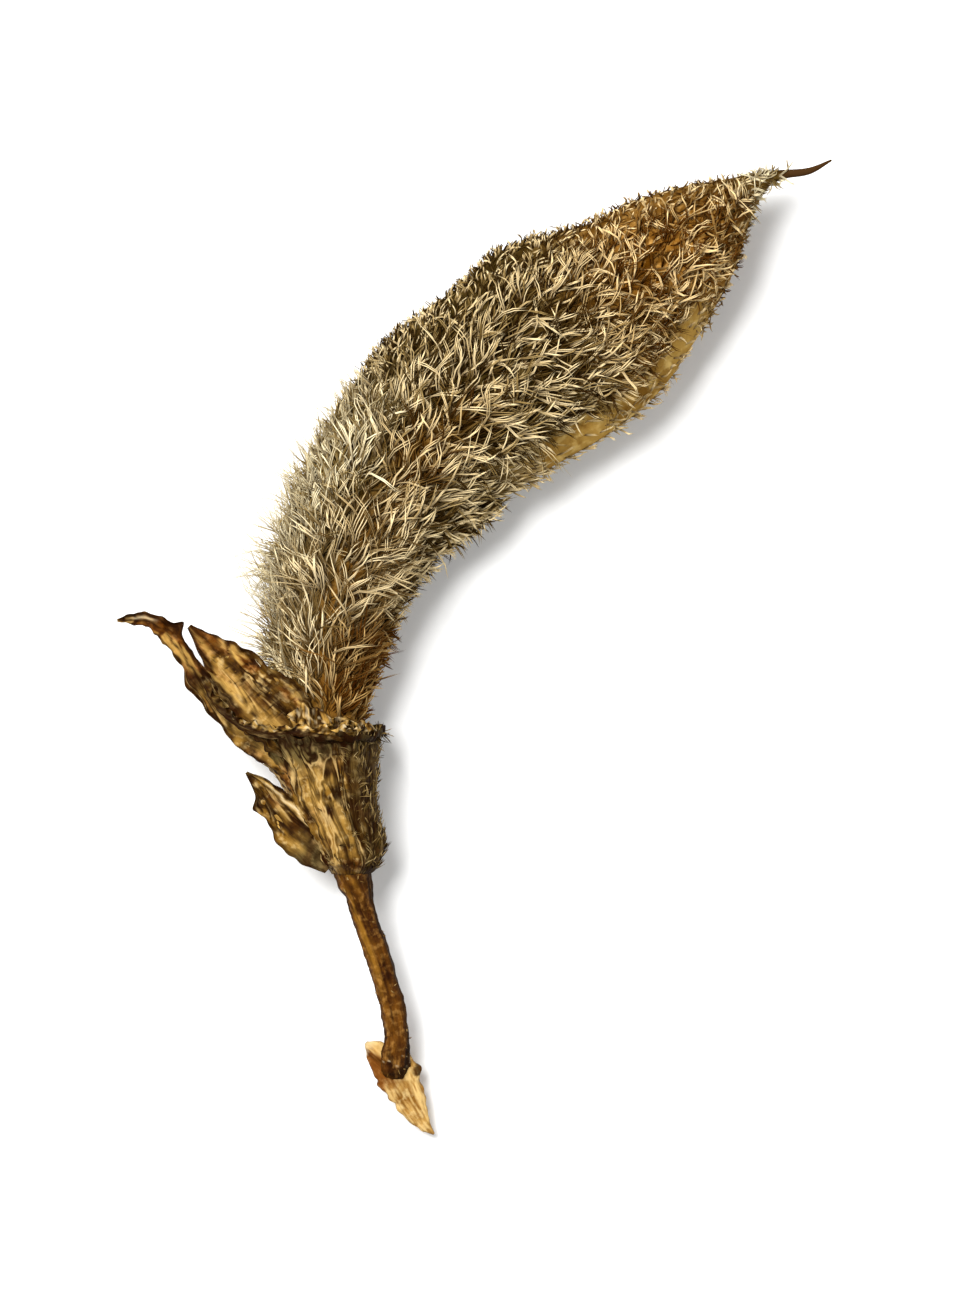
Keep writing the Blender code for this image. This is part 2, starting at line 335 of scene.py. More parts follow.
# %% [markdown]
# ## A hair as a three-sided spike
#
# Ripe lupin pods are shaggy with silky hairs, one to two millimetres long. Blender's own hair would be lost
# when the model is exported, so each hair is a tiny closed mesh: rings of three points that shrink to a tip.
# All hairs of one patch are worked out together as one array, which is quick, and share one mesh.

# %% Turn many paths into one mesh of spikes
HAIR_SIDES = 3
TAPER = 0.50
HAIR_FLOOR = 0.01
CELL_MARGIN, CELL_USED = 0.1, 0.8


def spike_faces(hairs, rings):
    """Triangles of one spike, repeated with an offset for each hair. The root is closed by one triangle."""
    ring, side = np.meshgrid(np.arange(rings - 1), np.arange(HAIR_SIDES), indexing="ij")
    low, low_after = ring * HAIR_SIDES + side, ring * HAIR_SIDES + (side + 1) % HAIR_SIDES
    high, high_after = low + HAIR_SIDES, low_after + HAIR_SIDES
    left, right = np.stack([low, high, high_after], -1), np.stack([low, high_after, low_after], -1)
    walls = np.concatenate([left, right])
    k = np.arange(HAIR_SIDES)
    top = (rings - 1) * HAIR_SIDES
    tip = np.stack([top + k, np.full(HAIR_SIDES, rings * HAIR_SIDES), top + (k + 1) % HAIR_SIDES], -1)
    one = np.concatenate([walls.reshape(-1, 3), tip, [[0, 1, 2]]])
    return (one[None] + (np.arange(hairs) * (rings * HAIR_SIDES + 1))[:, None, None]).reshape(-1, 3)


NEARLY_UP = np.array([0.31, 0.17, 0.93])


def spikes(paths, thickness):
    """Points round each path: a triangle whose radius shrinks towards the tip, and the tip itself. The
    triangle is set across the path by a fixed slanting direction, which no hair runs along."""
    along = unit(np.gradient(paths, axis=1))
    aside = unit(np.cross(along, NEARLY_UP))
    above = np.cross(aside, along)
    rings = paths.shape[1] - 1
    radius = (1 - TAPER * np.linspace(0, 1, rings + 1)[:-1] ** 1.5)[None, :] * thickness[:, None] / 2
    turn = TURN * np.arange(HAIR_SIDES) / HAIR_SIDES
    wide = np.cos(turn)[None, None, :, None] * aside[:, :-1, None]
    tall = np.sin(turn)[None, None, :, None] * above[:, :-1, None]
    walls = paths[:, :-1, None] + (wide + tall) * radius[..., None, None]
    return np.concatenate([walls.reshape(len(paths), -1, 3), paths[:, -1:]], axis=1)


def add_hairs(name, paths, thickness, slot, **values):
    """One mesh of closed spikes. Each hair has a cell of its own in the UV map, with a margin round it."""
    rings = paths.shape[1] - 1
    points = spikes(paths, thickness)
    points[..., 2] = np.maximum(points[..., 2], HAIR_FLOOR)
    per_hair = points.shape[1]
    faces = spike_faces(len(paths), rings)
    piece = add_piece(name, points.reshape(-1, 3), [faces])
    reach = np.append(np.repeat(np.linspace(0, 1, rings + 1)[:-1], HAIR_SIDES), 1.0)
    values = {key: np.repeat(each, per_hair) for key, each in values.items()}
    write_values(piece, reach=np.tile(reach, len(paths)), **values)
    cells = math.ceil(math.sqrt(len(paths)))
    hair, spot = faces // per_hair, faces % per_hair
    spot_u = np.where(spot == per_hair - 1, 1.0, spot % HAIR_SIDES) / 2 * CELL_USED + CELL_MARGIN
    spot_v = reach[spot] * CELL_USED + CELL_MARGIN
    where = np.stack([(hair % cells + spot_u) / cells, (hair // cells + spot_v) / cells], -1)
    layer = piece.data.uv_layers.new(name="OFBake")
    layer.data.foreach_set("uv", where.astype(np.float32).ravel())
    print(f"{name}: {len(paths)} hairs, {len(faces)} triangles")
    return piece


# %% Roots on any skin
def draw_roots(skin, keep, count, draw):
    """Picks faces of a ringed skin by their area times keep, and a place inside each. Gives the place, the
    ways along and around, the outward normal, and the ring and side numbers."""
    after = np.roll(skin, -1, axis=1)
    ahead, beside = skin[1:] - skin[:-1], after[:-1] - skin[:-1]
    weight = (np.linalg.norm(np.cross(ahead, beside), axis=-1) * keep[:-1]).ravel()
    pick = draw.choice(len(weight), count, p=weight / weight.sum())
    ring, side = np.divmod(pick, skin.shape[1])
    u, v = draw.uniform(0, 1, (2, count, 1))
    place = skin[ring, side] + u * ahead[ring, side] + v * beside[ring, side]
    along, around = unit(ahead[ring, side]), unit(beside[ring, side])
    return place, along, around, unit(np.cross(along, around)), ring + u[:, 0], side + v[:, 0]


# %% [markdown]
# ## Hairs stand in wisps
#
# Silky hairs cling together. A pair shares a root, a heading and a curl, and draws together towards the tips,
# so that from a little way off a wisp reads as one bright strand with dark gaps beside it.

# %% Grow wisps on a skin
WISP = 2
HAIR_RINGS = 5
ROOT_DEPTH, ROOT_SPREAD = 0.04, 0.024
WAVE_TURN = 4.5


def wisp_paths(root, heading, outward, normal, turn, length, lift, wave, draw):
    """A hair leaves its root along heading turned by turn towards outward, rises by lift and sinks back
    with the square of its reach, and bends and waves sideways. The hairs of a wisp then move together."""
    wisps = len(root)
    count = wisps * WISP

    def each(values):
        return np.repeat(values, WISP, axis=0)

    spread = draw.normal(0, ROOT_SPREAD, (2, count, 1))
    root = each(root - ROOT_DEPTH * normal) + spread[0] * each(heading) + spread[1] * each(outward)
    turn = each(turn) + draw.normal(0, 0.10, count)
    ahead = unit(np.cos(turn)[:, None] * each(heading) + np.sin(turn)[:, None] * each(outward))[:, None]
    normal = each(normal)[:, None]
    sideways = unit(np.cross(normal, ahead))
    reach = np.linspace(0, 1, HAIR_RINGS)[None, :, None]
    start = each(draw.uniform(0, TURN, (wisps, 1, 1)))
    wobble = each(wave)[:, None, None] * (np.sin(start + WAVE_TURN * reach) - np.sin(start))
    bend = each(draw.normal(0, 0.42, (wisps, 1, 1))) * reach**2
    rise = (each(lift) * draw.uniform(0.8, 1.2, count))[:, None, None] * (reach - 0.75 * reach**2)
    long = (each(length) * draw.uniform(0.75, 1.05, count))[:, None, None]
    paths = root[:, None] + long * (ahead * reach + sideways * (wobble + bend) + normal * rise)
    middle = each(paths.reshape(wisps, WISP, HAIR_RINGS, 3).mean(axis=1))
    gather = each(draw.uniform(0.30, 0.90, (wisps, 1, 1))) * reach**0.7
    return paths + (middle - paths) * gather


# %% [markdown]
# ## How the pod's hairs lie
#
# The hairs lean towards the tip, and part along the pod's middle line, so that they point outwards at both
# seams. Pale ones stand higher and cross over the dark ones. They are longest near the calyx, where they
# stand out as a pale fringe, and short along the seams further up.

# %% Lengths and headings on the pod
PART, EDGE_PART = math.radians(40), math.radians(18)
STRAY_SHARE, STRAY = 0.16, 2.4
CHANCE_TURN, SHARED_TURN, SHARED_SIZE = 0.27, 0.36, 2.0


def hair_length(places, side):
    """Long at the neck, shorter towards the tip, and cut down at either seam by a share that goes with y."""
    y = places[:, 1]
    length = np.interp(y, (15, 17, 20, 27, 32, 36), (1.3, 1.75, 1.8, 1.5, 1.25, 0.8))
    at_back = np.interp(y, (16, 20, 22.5, 25, 31, 35), (0.85, 0.80, 0.70, 0.50, 0.38, 0.42))
    at_front = np.interp(y, (16, 19.5, 21.5, 23, 24, 30, 35), (0.46, 0.45, 0.55, 0.7, 0.5, 0.36, 0.3))
    edge = smooth_step(np.abs(side), 0.5, 0.95)
    return length * (1 - edge * (1 - np.where(side < 0, at_back, at_front)))


def pod_wisps(wisps, keep, longer, outward, draw):
    """A wisp's heading turns up to PART out from the pod's own line, less towards the tip, and EDGE_PART
    more right at the seams, with a wander that neighbours share and a chance of its own that grows towards
    the tip. Outwards is partly the way across the skin and partly, by the share outward, straight away from
    the pod."""
    place, along, around, normal, ring, number = draw_roots(pod_points, keep, wisps, draw)
    _, across, _ = line_axes(POD, ring / (POD_RINGS - 1))
    side = np.cos(number * TURN / POD_SIDES)
    curly = smooth_step(place[:, 0], 5.5, 9.5)
    stray = np.where((draw.uniform(0, 1, wisps) < STRAY_SHARE) & (place[:, 1] > 17.5), STRAY, 1.0)
    front = 1 - 0.35 * (side > 0) * smooth_step(place[:, 1], 22, 26)
    turn = PART * signed_power(side, 0.6) * (1 - 0.6 * curly) * front
    turn = turn + EDGE_PART * np.sign(side) * smooth_step(np.abs(side), 0.75, 1.0)
    turn = turn + draw.normal(0, CHANCE_TURN, wisps) * stray * (1 + 1.2 * curly)
    turn = turn + SHARED_TURN * wander(place, SHARED_SIZE, 71)
    flat = across - normal * np.sum(normal * across, axis=-1, keepdims=True)
    bright = draw.uniform(0, 1, wisps)
    length = longer * hair_length(place, side) * draw.uniform(0.7, 1.15, wisps)
    lift = 0.08 + 0.42 * bright * draw.uniform(0.5, 1, wisps)
    wave = draw.uniform(0.03, 0.12, wisps) + 0.08 * curly
    outwards = (1 - outward) * flat + outward * across
    return wisp_paths(place, along, outwards, normal, turn, length, lift, wave, draw), bright


def growth(face, half):
    """How thickly hairs stand at each point of the skin: one half of the upper face, the seams, the fringe at
    the back or the underside. None grow inside the calyx, on the style or, nearly, on the bare front seam."""
    x, y = pod_points[..., 0], pod_points[..., 1]
    up, across = np.sin(pod_angle), np.cos(pod_angle)
    thick = smooth_step(y, 14.9, 15.6) * (1 - smooth_step(x, 13.0, 13.5)) * (1 - 0.92 * pod_bare)
    if face == "upper":
        parting = hill(across, 0, 0.16) * (1 - smooth_step(y, 25.5, 28.5))
        thin = (1 - 0.25 * parting) * (1 - 0.35 * round_hill(pod_points, 8.5, 32.6, 2.2))
        return thick * (up > 0.02) * smooth_step(across * half, -0.12, 0.12) * thin
    if face == "seams":
        return thick * (np.abs(up) < 0.36) * np.where(across < 0, 0.7, 0.6)
    if face == "fringe":
        return thick * (np.abs(up) < 0.6) * (across < 0) * (1 - smooth_step(y, 26, 29))
    return thick * (up < 0)


# %% Grow the pod's hairs in patches
# Each patch: the face, which half of it, how much longer, the share outward, the number of wisps, the seed.
PATCHES = {
    "hair_back_half": ("upper", -1, 1.0, 0.38, 4400, 11),
    "hair_front_half": ("upper", 1, 1.0, 0.38, 4400, 12),
    "hair_seams": ("seams", 0, 1.0, 0.38, 1200, 13),
    "hair_fringe": ("fringe", 0, 1.75, 1.0, 340, 15),
    "hair_under": ("under", 0, 1.0, 0.38, 3200, 14),
}
HAIR_THICKNESS, BRIGHT_HAIR_THICKNESS = 0.040, 0.086
FRINGE_THICKNESS = 0.040


def grow_patch(name, face, half, longer, outward, wisps, seed):
    """Grows one patch. An S curve of a wisp's own chance leaves nearly half of them dark, standing as painted
    shade for the depth of the coat below the pale ones, and a quarter bright. The bright ones are thicker,
    those at the neck's right are darkened as painted shade, and none on bare skin is dark."""
    draw = np.random.default_rng(seed)
    paths, bright = pod_wisps(wisps, growth(face, half), longer, outward, draw)
    bright = np.repeat(bright, WISP)
    root = paths[:, 0]
    x, y = root[:, 0], root[:, 1]
    warm, neck, bare, _ = pod_region(root)
    # Cream hair at the left fringe is partly its pale colour and partly painted light through the thin hairs;
    # hair at the base and by the style is cream as well.
    base = (1 - smooth_step(y, 19, 25)) * (1 - smooth_step(x + 0.5 * (17 - y), -4.6, -2.8))
    fringe = smooth_step(-x - 0.55 * (24.5 - y), 1.4, 3.0) * (1 - smooth_step(y, 25, 29))
    fringe = np.maximum(np.maximum(fringe, 0.55 * base), smooth_step(x, 11.6, 12.4))
    neck_right_shade = 1 - 0.50 * neck * smooth_step(x, -4.2, -2.9)
    shade = (0.94 * smooth_step(bright, 0.45, 1.0) + 0.06 * draw.uniform(0, 1, len(paths))) * neck_right_shade
    shade = np.maximum(shade, 0.6 * bare)
    thicker = (BRIGHT_HAIR_THICKNESS - HAIR_THICKNESS) * bright
    thickness = HAIR_THICKNESS + thicker * draw.uniform(0.5, 1, len(paths))
    if face == "fringe":
        shade, fringe, thickness = 0.15 + 0.6 * bright, 1.0 + 0 * bright, FRINGE_THICKNESS + 0 * bright
    return add_hairs(name, paths, thickness, "pod", shade=shade, warm=np.maximum(warm, neck), fringe=fringe)


hairs = [grow_patch(name, *patch) for name, patch in PATCHES.items()]

# %% [markdown]
# ## The calyx
#
# The dry calyx is a papery cup round the pod's neck. Its wall is thin, ribbed and crumpled, so it is one
# profile that runs up the outside, over the rim and down the inside again, carried round the cup. A second,
# crinkled sleeve stands inside the rim, and the lip on the left runs out into a broad and a narrow tooth.

# %% The cup's wall
CUP = (
    (-2.72, 9.62, 1.98, 0.70, 0.70),
    (-2.72, 10.10, 1.98, 1.12, 1.10),
    (-2.90, 11.00, 2.00, 1.26, 1.26),
    (-3.28, 12.40, 2.02, 1.60, 1.54),
    (-3.55, 13.60, 2.05, 1.90, 1.78),
    (-3.86, 14.70, 2.10, 2.26, 1.98),
    (-3.98, 15.45, 2.12, 2.40, 2.06),
)
CUP_RINGS, CUP_SIDES = 150, 200
CUP_RADIUS, CUP_LENGTH = 1.8, 5.8
CUP_FLOOR, INNER_FOOT = 0.02, 0.12
WALL = 0.14


def folded_profile(rings, low=0.0):
    """Heights that run from 0 up to 1 and back down to low, and 0 outside or 1 inside for each."""
    out = rings * 3 // 5
    height = np.concatenate([np.linspace(0, 1, out), np.linspace(1, low, rings - out)])
    return height, np.concatenate([np.zeros(out), np.ones(rings - out)])


def cup_folds(height, angle):
    """The cup's lengthwise folds, broad ones with fine ones on them. They grow from the foot to the rim."""
    grain = straight_grain(angle, height, CUP_RADIUS, CUP_LENGTH)
    folds = (0.75 * long_folds(grain, 0.95, 21) + 0.45 * long_folds(grain, 0.35, 22)) * (0.55 + 0.45 * height)
    return folds - 0.9 * crackle(grain, 0.8, 17)


def cup_wall(height, angle, inset):
    """Half widths from the stations, drawn into a strip, a groove and folds, with a flared rim that rises and
    falls in waves and stands lower on the side that faces up and at the right. inset moves a point inwards,
    for the inner face. The cup is kept just off the floor."""
    rows = read_line(CUP, height)
    _, across, through = line_axes(CUP, height)
    strip = 0.10 * hill(angle, 0.55 + 0.2 * height, 0.34) * smooth_step(height, 0.05, 0.4)
    groove = -0.17 * hill(angle, 1.12 + 0.22 * height, 0.11) * smooth_step(height, 0.1, 0.35)
    knob = 0.17 * (hill(angle, 0.0, 0.5) + hill(angle, TURN, 0.5)) * hill(height, 0.28, 0.09)
    lip = 0.07 * smooth_step(height, 0.90, 1.0)
    swell = 1 + strip + groove + knob + lip + 0.045 * cup_folds(height, angle)
    wide = (rows[..., 3] * swell - inset) * np.cos(angle)
    tall = (rows[..., 4] * swell - inset) * np.sin(angle)
    points = rows[..., :3] + wide[..., None] * across + tall[..., None] * through
    round_way = np.stack([2 * np.cos(angle), 2 * np.sin(angle), 0 * angle], -1)
    wave = 0.14 * wander(round_way, 2.2, 19) + 0.09 * wander(round_way, 0.6, 20)
    wave = wave - 0.35 * np.maximum(np.sin(angle), 0)
    wave = wave - 0.7 * smooth_step(np.cos(angle), 0.2, 0.9)
    points[..., 1] += smooth_step(height, 0.7, 1.0) * wave
    outwards = unit(points - rows[..., :3])
    smooth = points + inset[..., None] * outwards
    crumple = 0.05 * wander(smooth, 1.1, 23) + 0.035 * wander(smooth, 0.32, 24)
    points = points + (crumple * smooth_step(height, 0.0, 0.15))[..., None] * outwards
    points[..., 2] = np.maximum(points[..., 2], CUP_FLOOR)
    return points


height, inside = folded_profile(CUP_RINGS, low=INNER_FOOT)
_, cup_angle = skin_grid(CUP_RINGS, CUP_SIDES)
cup_height, cup_inside = height[:, None] + 0 * cup_angle, inside[:, None] + 0 * cup_angle
cup_points = cup_wall(cup_height, cup_angle, WALL * cup_inside)
folds = cup_folds(cup_height, cup_angle)
from_right = np.mod(cup_angle + math.pi, TURN) - math.pi
strip_edge = 1.0 + 0.22 * cup_height + 0.10 * wander(cup_points, 0.8, 25)
strip = smooth_step(from_right, -1.3, -0.9)
strip = strip * (1 - smooth_step(from_right, strip_edge - 0.12, strip_edge + 0.06))
top_face = smooth_step(np.sin(cup_angle), 0.1, 0.6) * (1 - strip)
belly = hill(cup_angle, 1.74, 0.60) * smooth_step(cup_height, 0.16, 0.36)
belly = belly * (1 - smooth_step(cup_height, 0.66, 0.78))
belly = belly * smooth_step(wander(cup_points, 0.7, 18), -0.9, 0.4)
ragged_height = cup_height + 0.02 * wander(cup_points, 0.5, 15)
below_band = 1 - smooth_step(ragged_height, 0.68, 0.80)
# Fold crests are lightened as a painted highlight, most where the cup faces up; the golden middle is the
# calyx's own colour.
bright_folds = 0.42 * smooth_step(folds, 0.1, 0.9) * (0.2 + 0.8 * top_face) * (1 - 0.7 * belly)
# Painted shade darkens the fold valleys, the inside, a line in the groove along the strip's edge and a band
# just under the rolled rim, where the olive is partly painted shade as well. The right strip is its own dark
# olive and partly painted shade. The foot is darker too, and the rust blotches are the calyx's own colour.
cup = add_rings(
    "calyx_cup", cup_points, "calyx", "calyx",
    grain=straight_grain(cup_angle, cup_height, CUP_RADIUS, CUP_LENGTH),
    stain=0.72 * strip + 0.8 * smooth_step(-folds, 0.35, 1.2) * (1 - 0.8 * belly)
    + 0.6 * (1 - smooth_step(cup_height, 0.02, 0.22)) + cup_inside + 1.2 * hill(from_right, strip_edge, 0.10)
    + 0.8 * smooth_step(ragged_height, 0.80, 0.90),
    glow=(bright_folds + 0.5 * belly) * below_band,
    olive=0.8 * (1 - below_band) + 0.5 * strip,
    rust=0.8 * smooth_step(wander(cup_points, 1.2, 16), 0.0, 0.8) * below_band,
)

# %% The crinkled sleeve inside the rim
SLEEVE_RINGS, SLEEVE_SIDES = 50, 320
SLEEVE_FOOT, SLEEVE_TOP = 14.1, 15.75
SLEEVE_RADIUS, SLEEVE_LENGTH = 2.0, 1.6
SLEEVE_WALL = 0.07


def sleeve_wall(height, angle, inset):
    """A short ring between the cup and the neck. Its radius wanders as it goes round, more towards its edge,
    and the edge itself is torn to different heights."""
    rows = read_line(CUP, 0.8 + 0.2 * height)
    _, across, through = line_axes(CUP, 0.8 + 0.2 * height)
    round_way = np.stack([2 * np.cos(angle), 2 * np.sin(angle), 2.4 * height], -1)
    ruffle = 0.7 * wander(round_way, 0.65, 26) + 0.8 * wander(round_way, 0.28, 27)
    radius = 0.89 - 0.15 * height + 0.060 * ruffle * (0.2 + 0.8 * height)
    wide = (rows[..., 3] * radius - inset) * np.cos(angle)
    tall = (rows[..., 4] * radius - inset) * np.sin(angle)
    points = rows[..., :3] + wide[..., None] * across + tall[..., None] * through
    torn = 0.18 * wander(round_way, 1.2, 28) + 0.12 * wander(round_way, 0.4, 29)
    torn = torn - 0.5 * smooth_step(np.cos(angle), 0.2, 0.9)
    points[..., 1] = SLEEVE_FOOT + (SLEEVE_TOP - SLEEVE_FOOT + torn) * height
    return points, ruffle


height, inside = folded_profile(SLEEVE_RINGS)
_, sleeve_angle = skin_grid(SLEEVE_RINGS, SLEEVE_SIDES)
sleeve_height, inside = height[:, None] + 0 * sleeve_angle, inside[:, None] + 0 * sleeve_angle
sleeve_points, ruffle = sleeve_wall(sleeve_height, sleeve_angle, SLEEVE_WALL * inside)
# Painted shade darkens the sleeve below its crests and between its ruffles; its upper crests get a golden
# painted highlight and pale painted glints.
sleeve = add_rings(
    "calyx_sleeve", sleeve_points, "calyx", tyre=True,
    grain=straight_grain(sleeve_angle, sleeve_height, SLEEVE_RADIUS, SLEEVE_LENGTH),
    stain=1.0 - 1.1 * smooth_step(sleeve_height, 0.55, 0.75) * smooth_step(ruffle, -0.1, 0.4),
    glow=0.55 * smooth_step(sleeve_height, 0.6, 0.8) * smooth_step(ruffle, 0.1, 0.7),
    frost=0.4 * smooth_step(sleeve_height, 0.6, 0.8) * smooth_step(wander(sleeve_points, 0.3, 94), 0.4, 0.8),
)

# %% [markdown]
# ## Teeth and bracteole as folded blades
#
# The two teeth and the little bract below them are thin dry blades. A blade is a flat section carried along a
# line, with frayed edges, small spikes and lengthwise folds that move both faces alike, so it keeps its
# thickness. The cup's rolled rim is such a blade too, laid along the rim with one edge ruffled.

# %% A folded, frayed blade
BLADE_SIDES = 60
EDGE_APART = 3


def blade_grid(stations, rings, thickness, gutter, twist, fray, ribs, seed, spikes_out=(), ruffle=0.0):
    """Across share s runs from -1 to 1. The blade's half width is multiplied by a wandering edge, it is
    lifted by gutter times s squared and by twist times s, and folds shift both faces together. Each spike of
    spikes_out is a hill on one edge: its place along, which edge, how far it stands out and how wide it is.
    ruffle lifts and moves the edge at s = -1 in short waves."""
    share, angle = skin_grid(rings, BLADE_SIDES)
    rows = read_line(stations, share)
    _, across, through = line_axes(stations, share)
    s = signed_power(np.cos(angle), 0.8)
    length = np.linalg.norm(np.diff(np.array(stations)[:, :3], axis=0), axis=1).sum()
    edge_way = np.stack([share * length, np.sign(s) * EDGE_APART, 0 * s], -1)
    edge = 1 + fray * (wander(edge_way, 1.5, seed) + 0.7 * wander(edge_way, 0.45, seed + 1)) * np.abs(s) ** 3
    width = rows[..., 3] * s * edge
    for at, which, out, size in spikes_out:
        width = width + which * out * hill(share, at, size) * smooth_step(s * which, 0.3, 1.0)
    grain = np.stack([rows[..., 3] * s, 0.1 * np.sin(angle), share * length], -1)
    folds = 0.8 * long_folds(grain, 0.6, seed + 2) + 0.5 * long_folds(grain, 0.22, seed + 3)
    folds = folds - 1.7 * crackle(grain, 0.55, seed + 7)
    bent = rows[..., 3] * (gutter * s**2 + twist * s)
    thick = thickness / 2 * signed_power(np.sin(angle), 0.5)
    flat = rows[..., :3] + width[..., None] * across
    waves = ruffle * smooth_step(-s, -0.4, 0.8)
    wave_way = np.stack([share * length, 0.4 * s, 0 * s], -1)
    flat = flat - (waves * wander(wave_way, 0.42, seed + 5))[..., None] * across
    dents = ribs * (folds + 0.6 * wander(flat, 0.9, seed + 4)) + waves * wander(wave_way, 0.5, seed + 6)
    return flat + (bent + thick + dents)[..., None] * through, s, share, folds, grain


# %% The broad tooth
BROAD_TOOTH = (
    (-4.20, 14.55, 3.20, 0.95, 0.1),
    (-4.90, 15.15, 3.35, 1.25, 0.1),
    (-5.60, 15.80, 3.45, 1.32, 0.1),
    (-6.35, 16.50, 3.42, 1.20, 0.1),
    (-7.15, 17.35, 3.38, 0.93, 0.1),
    (-7.95, 18.15, 3.40, 0.52, 0.1),
    (-8.75, 18.92, 3.45, 0.10, 0.1),
)
broad_points, s, share, folds, grain = blade_grid(BROAD_TOOTH, 110, 0.11, 0.16, -0.06, 0.10, 0.055, 31)
ragged = s + 0.10 * wander(broad_points, 0.5, 30)
# Painted shade darkens the fold valleys and a painted highlight lightens the fold crests. The tooth is also
# darker along both edges, along one line near its middle and at its tip, with a pale band along one side and
# rusty blotches.
broad_tooth = add_rings(
    "broad_tooth", broad_points, "calyx", "calyx", grain=grain,
    stain=0.9 * smooth_step(ragged, 0.66, 0.86) + smooth_step(-ragged, 0.60, 0.78)
    + 0.8 * smooth_step(share, 0.86, 0.97) + 0.9 * smooth_step(-folds, 0.3, 1.0) + hill(ragged, 0.12, 0.10),
    glow=smooth_step(folds, 0.2, 0.9) * (1 - smooth_step(share, 0.7, 0.9)) + 0.5 * hill(ragged, -0.35, 0.22),
    rust=0.9 * smooth_step(share + 0.12 * wander(broad_points, 0.8, 39), 0.55, 0.85)
    + 0.8 * smooth_step(wander(broad_points, 0.7, 29), 0.2, 0.8),
)

# %% The cup's rolled rim, ruffled on its upper side
RIM = (
    (-8.30, 17.00, 3.20, 0.05, 0.1),
    (-7.75, 16.05, 3.45, 0.15, 0.1),
    (-6.95, 15.34, 3.66, 0.19, 0.1),
    (-5.85, 14.96, 3.84, 0.25, 0.1),
    (-4.65, 15.02, 4.06, 0.27, 0.1),
    (-3.45, 14.90, 4.08, 0.25, 0.1),
    (-2.45, 14.92, 3.62, 0.20, 0.1),
    (-1.80, 15.02, 2.85, 0.10, 0.1),
)
rim_points, s, share, folds, grain = blade_grid(RIM, 300, 0.10, 0.30, -0.25, 0.16, 0.02, 91, ruffle=0.13)
crest = wander(rim_points, 0.35, 97)
# Painted shade darkens the roll's lower side and the hollows between its crests, and it is darker towards its
# left end; the crests of its upper side get a painted highlight and pale painted glints.
rim = add_rings(
    "rim_roll", rim_points, "calyx", grain=grain,
    stain=1.2 * smooth_step(s + 0.3 * crest, -0.1, 0.25) + smooth_step(-crest, 0.0, 0.5)
    + 0.9 * (1 - smooth_step(share, 0.15, 0.45)),
    glow=smooth_step(crest, -0.1, 0.5) * smooth_step(-s, 0.0, 0.4),
    frost=0.7 * smooth_step(wander(rim_points, 0.22, 98), 0.45, 0.8) * smooth_step(-s, 0.1, 0.5)
    * smooth_step(share, 0.15, 0.35),
)

# %% The narrow tooth, rolled and curled at its tip
NARROW_TOOTH = (
    (-4.55, 13.75, 3.00, 0.80, 0.1),
    (-5.75, 14.50, 3.02, 0.68, 0.1),
    (-7.00, 15.38, 3.00, 0.58, 0.1),
    (-8.05, 16.50, 2.95, 0.45, 0.1),
    (-8.85, 17.70, 2.92, 0.34, 0.1),
    (-9.42, 18.55, 3.00, 0.40, 0.1),
    (-10.10, 19.06, 3.05, 0.30, 0.1),
    (-10.80, 19.18, 2.85, 0.22, 0.1),
    (-11.42, 19.14, 2.60, 0.06, 0.1),
)
NARROW_SPIKES = (0.43, -1, 0.16, 0.03), (0.635, 1, 0.34, 0.022), (0.80, 1, 0.08, 0.03)
narrow_points, s, share, folds, grain = blade_grid(
    NARROW_TOOTH, 160, 0.12, 0.45, 0.40, 0.14, 0.04, 36, NARROW_SPIKES
)
ragged = s + 0.15 * wander(narrow_points, 0.5, 35)
low_half = 1 - smooth_step(share, 0.36, 0.44)
# Painted shade darkens the fold valleys, and on the upper half a painted highlight lightens the fold crests.
# The tooth is also darker along its edges, at one spot near its middle, along a line on its upper half and at
# its tip, paler along a band of its lower half, rusty on its upper half, and pale in a streak near the curl.
narrow_tooth = add_rings(
    "narrow_tooth", narrow_points, "calyx", "calyx", grain=grain,
    stain=smooth_step(ragged, 0.45, 0.72) + smooth_step(-ragged, 0.72, 0.90)
    + 0.8 * smooth_step(-folds, 0.3, 1.0) + 0.6 * smooth_step(share, 0.84, 0.94)
    + 0.9 * hill(share, 0.42, 0.03) + (1 - low_half) * hill(ragged, -0.12, 0.13),
    glow=0.9 * low_half * hill(ragged, -0.25, 0.35) + 0.7 * (1 - low_half) * smooth_step(folds, 0.1, 0.8),
    rust=0.9 * (1 - low_half) + 0.7 * smooth_step(wander(narrow_points, 0.8, 40), 0.2, 0.9),
    frost=0.6 * smooth_step(share, 0.72, 0.78) * (1 - smooth_step(share, 0.86, 0.92))
    * hill(ragged, 0.3, 0.16),
)

# %% The bracteole at the cup's foot
BRACTEOLE = (
    (-3.35, 10.05, 2.30, 0.50, 0.1),
    (-4.15, 10.80, 2.45, 0.80, 0.1),
    (-4.90, 11.50, 2.45, 0.80, 0.1),
    (-5.50, 12.20, 2.42, 0.66, 0.1),
    (-6.05, 12.88, 2.40, 0.36, 0.1),
    (-6.62, 13.44, 2.45, 0.06, 0.1),
)
BRACT_SPIKES = (0.70, -1, 0.30, 0.045), (0.34, -1, 0.10, 0.05)
bract_points, s, share, folds, grain = blade_grid(
    BRACTEOLE, 100, 0.11, 0.40, 0.16, 0.10, 0.045, 43, BRACT_SPIKES
)
ragged = s + 0.08 * wander(bract_points, 0.6, 42)
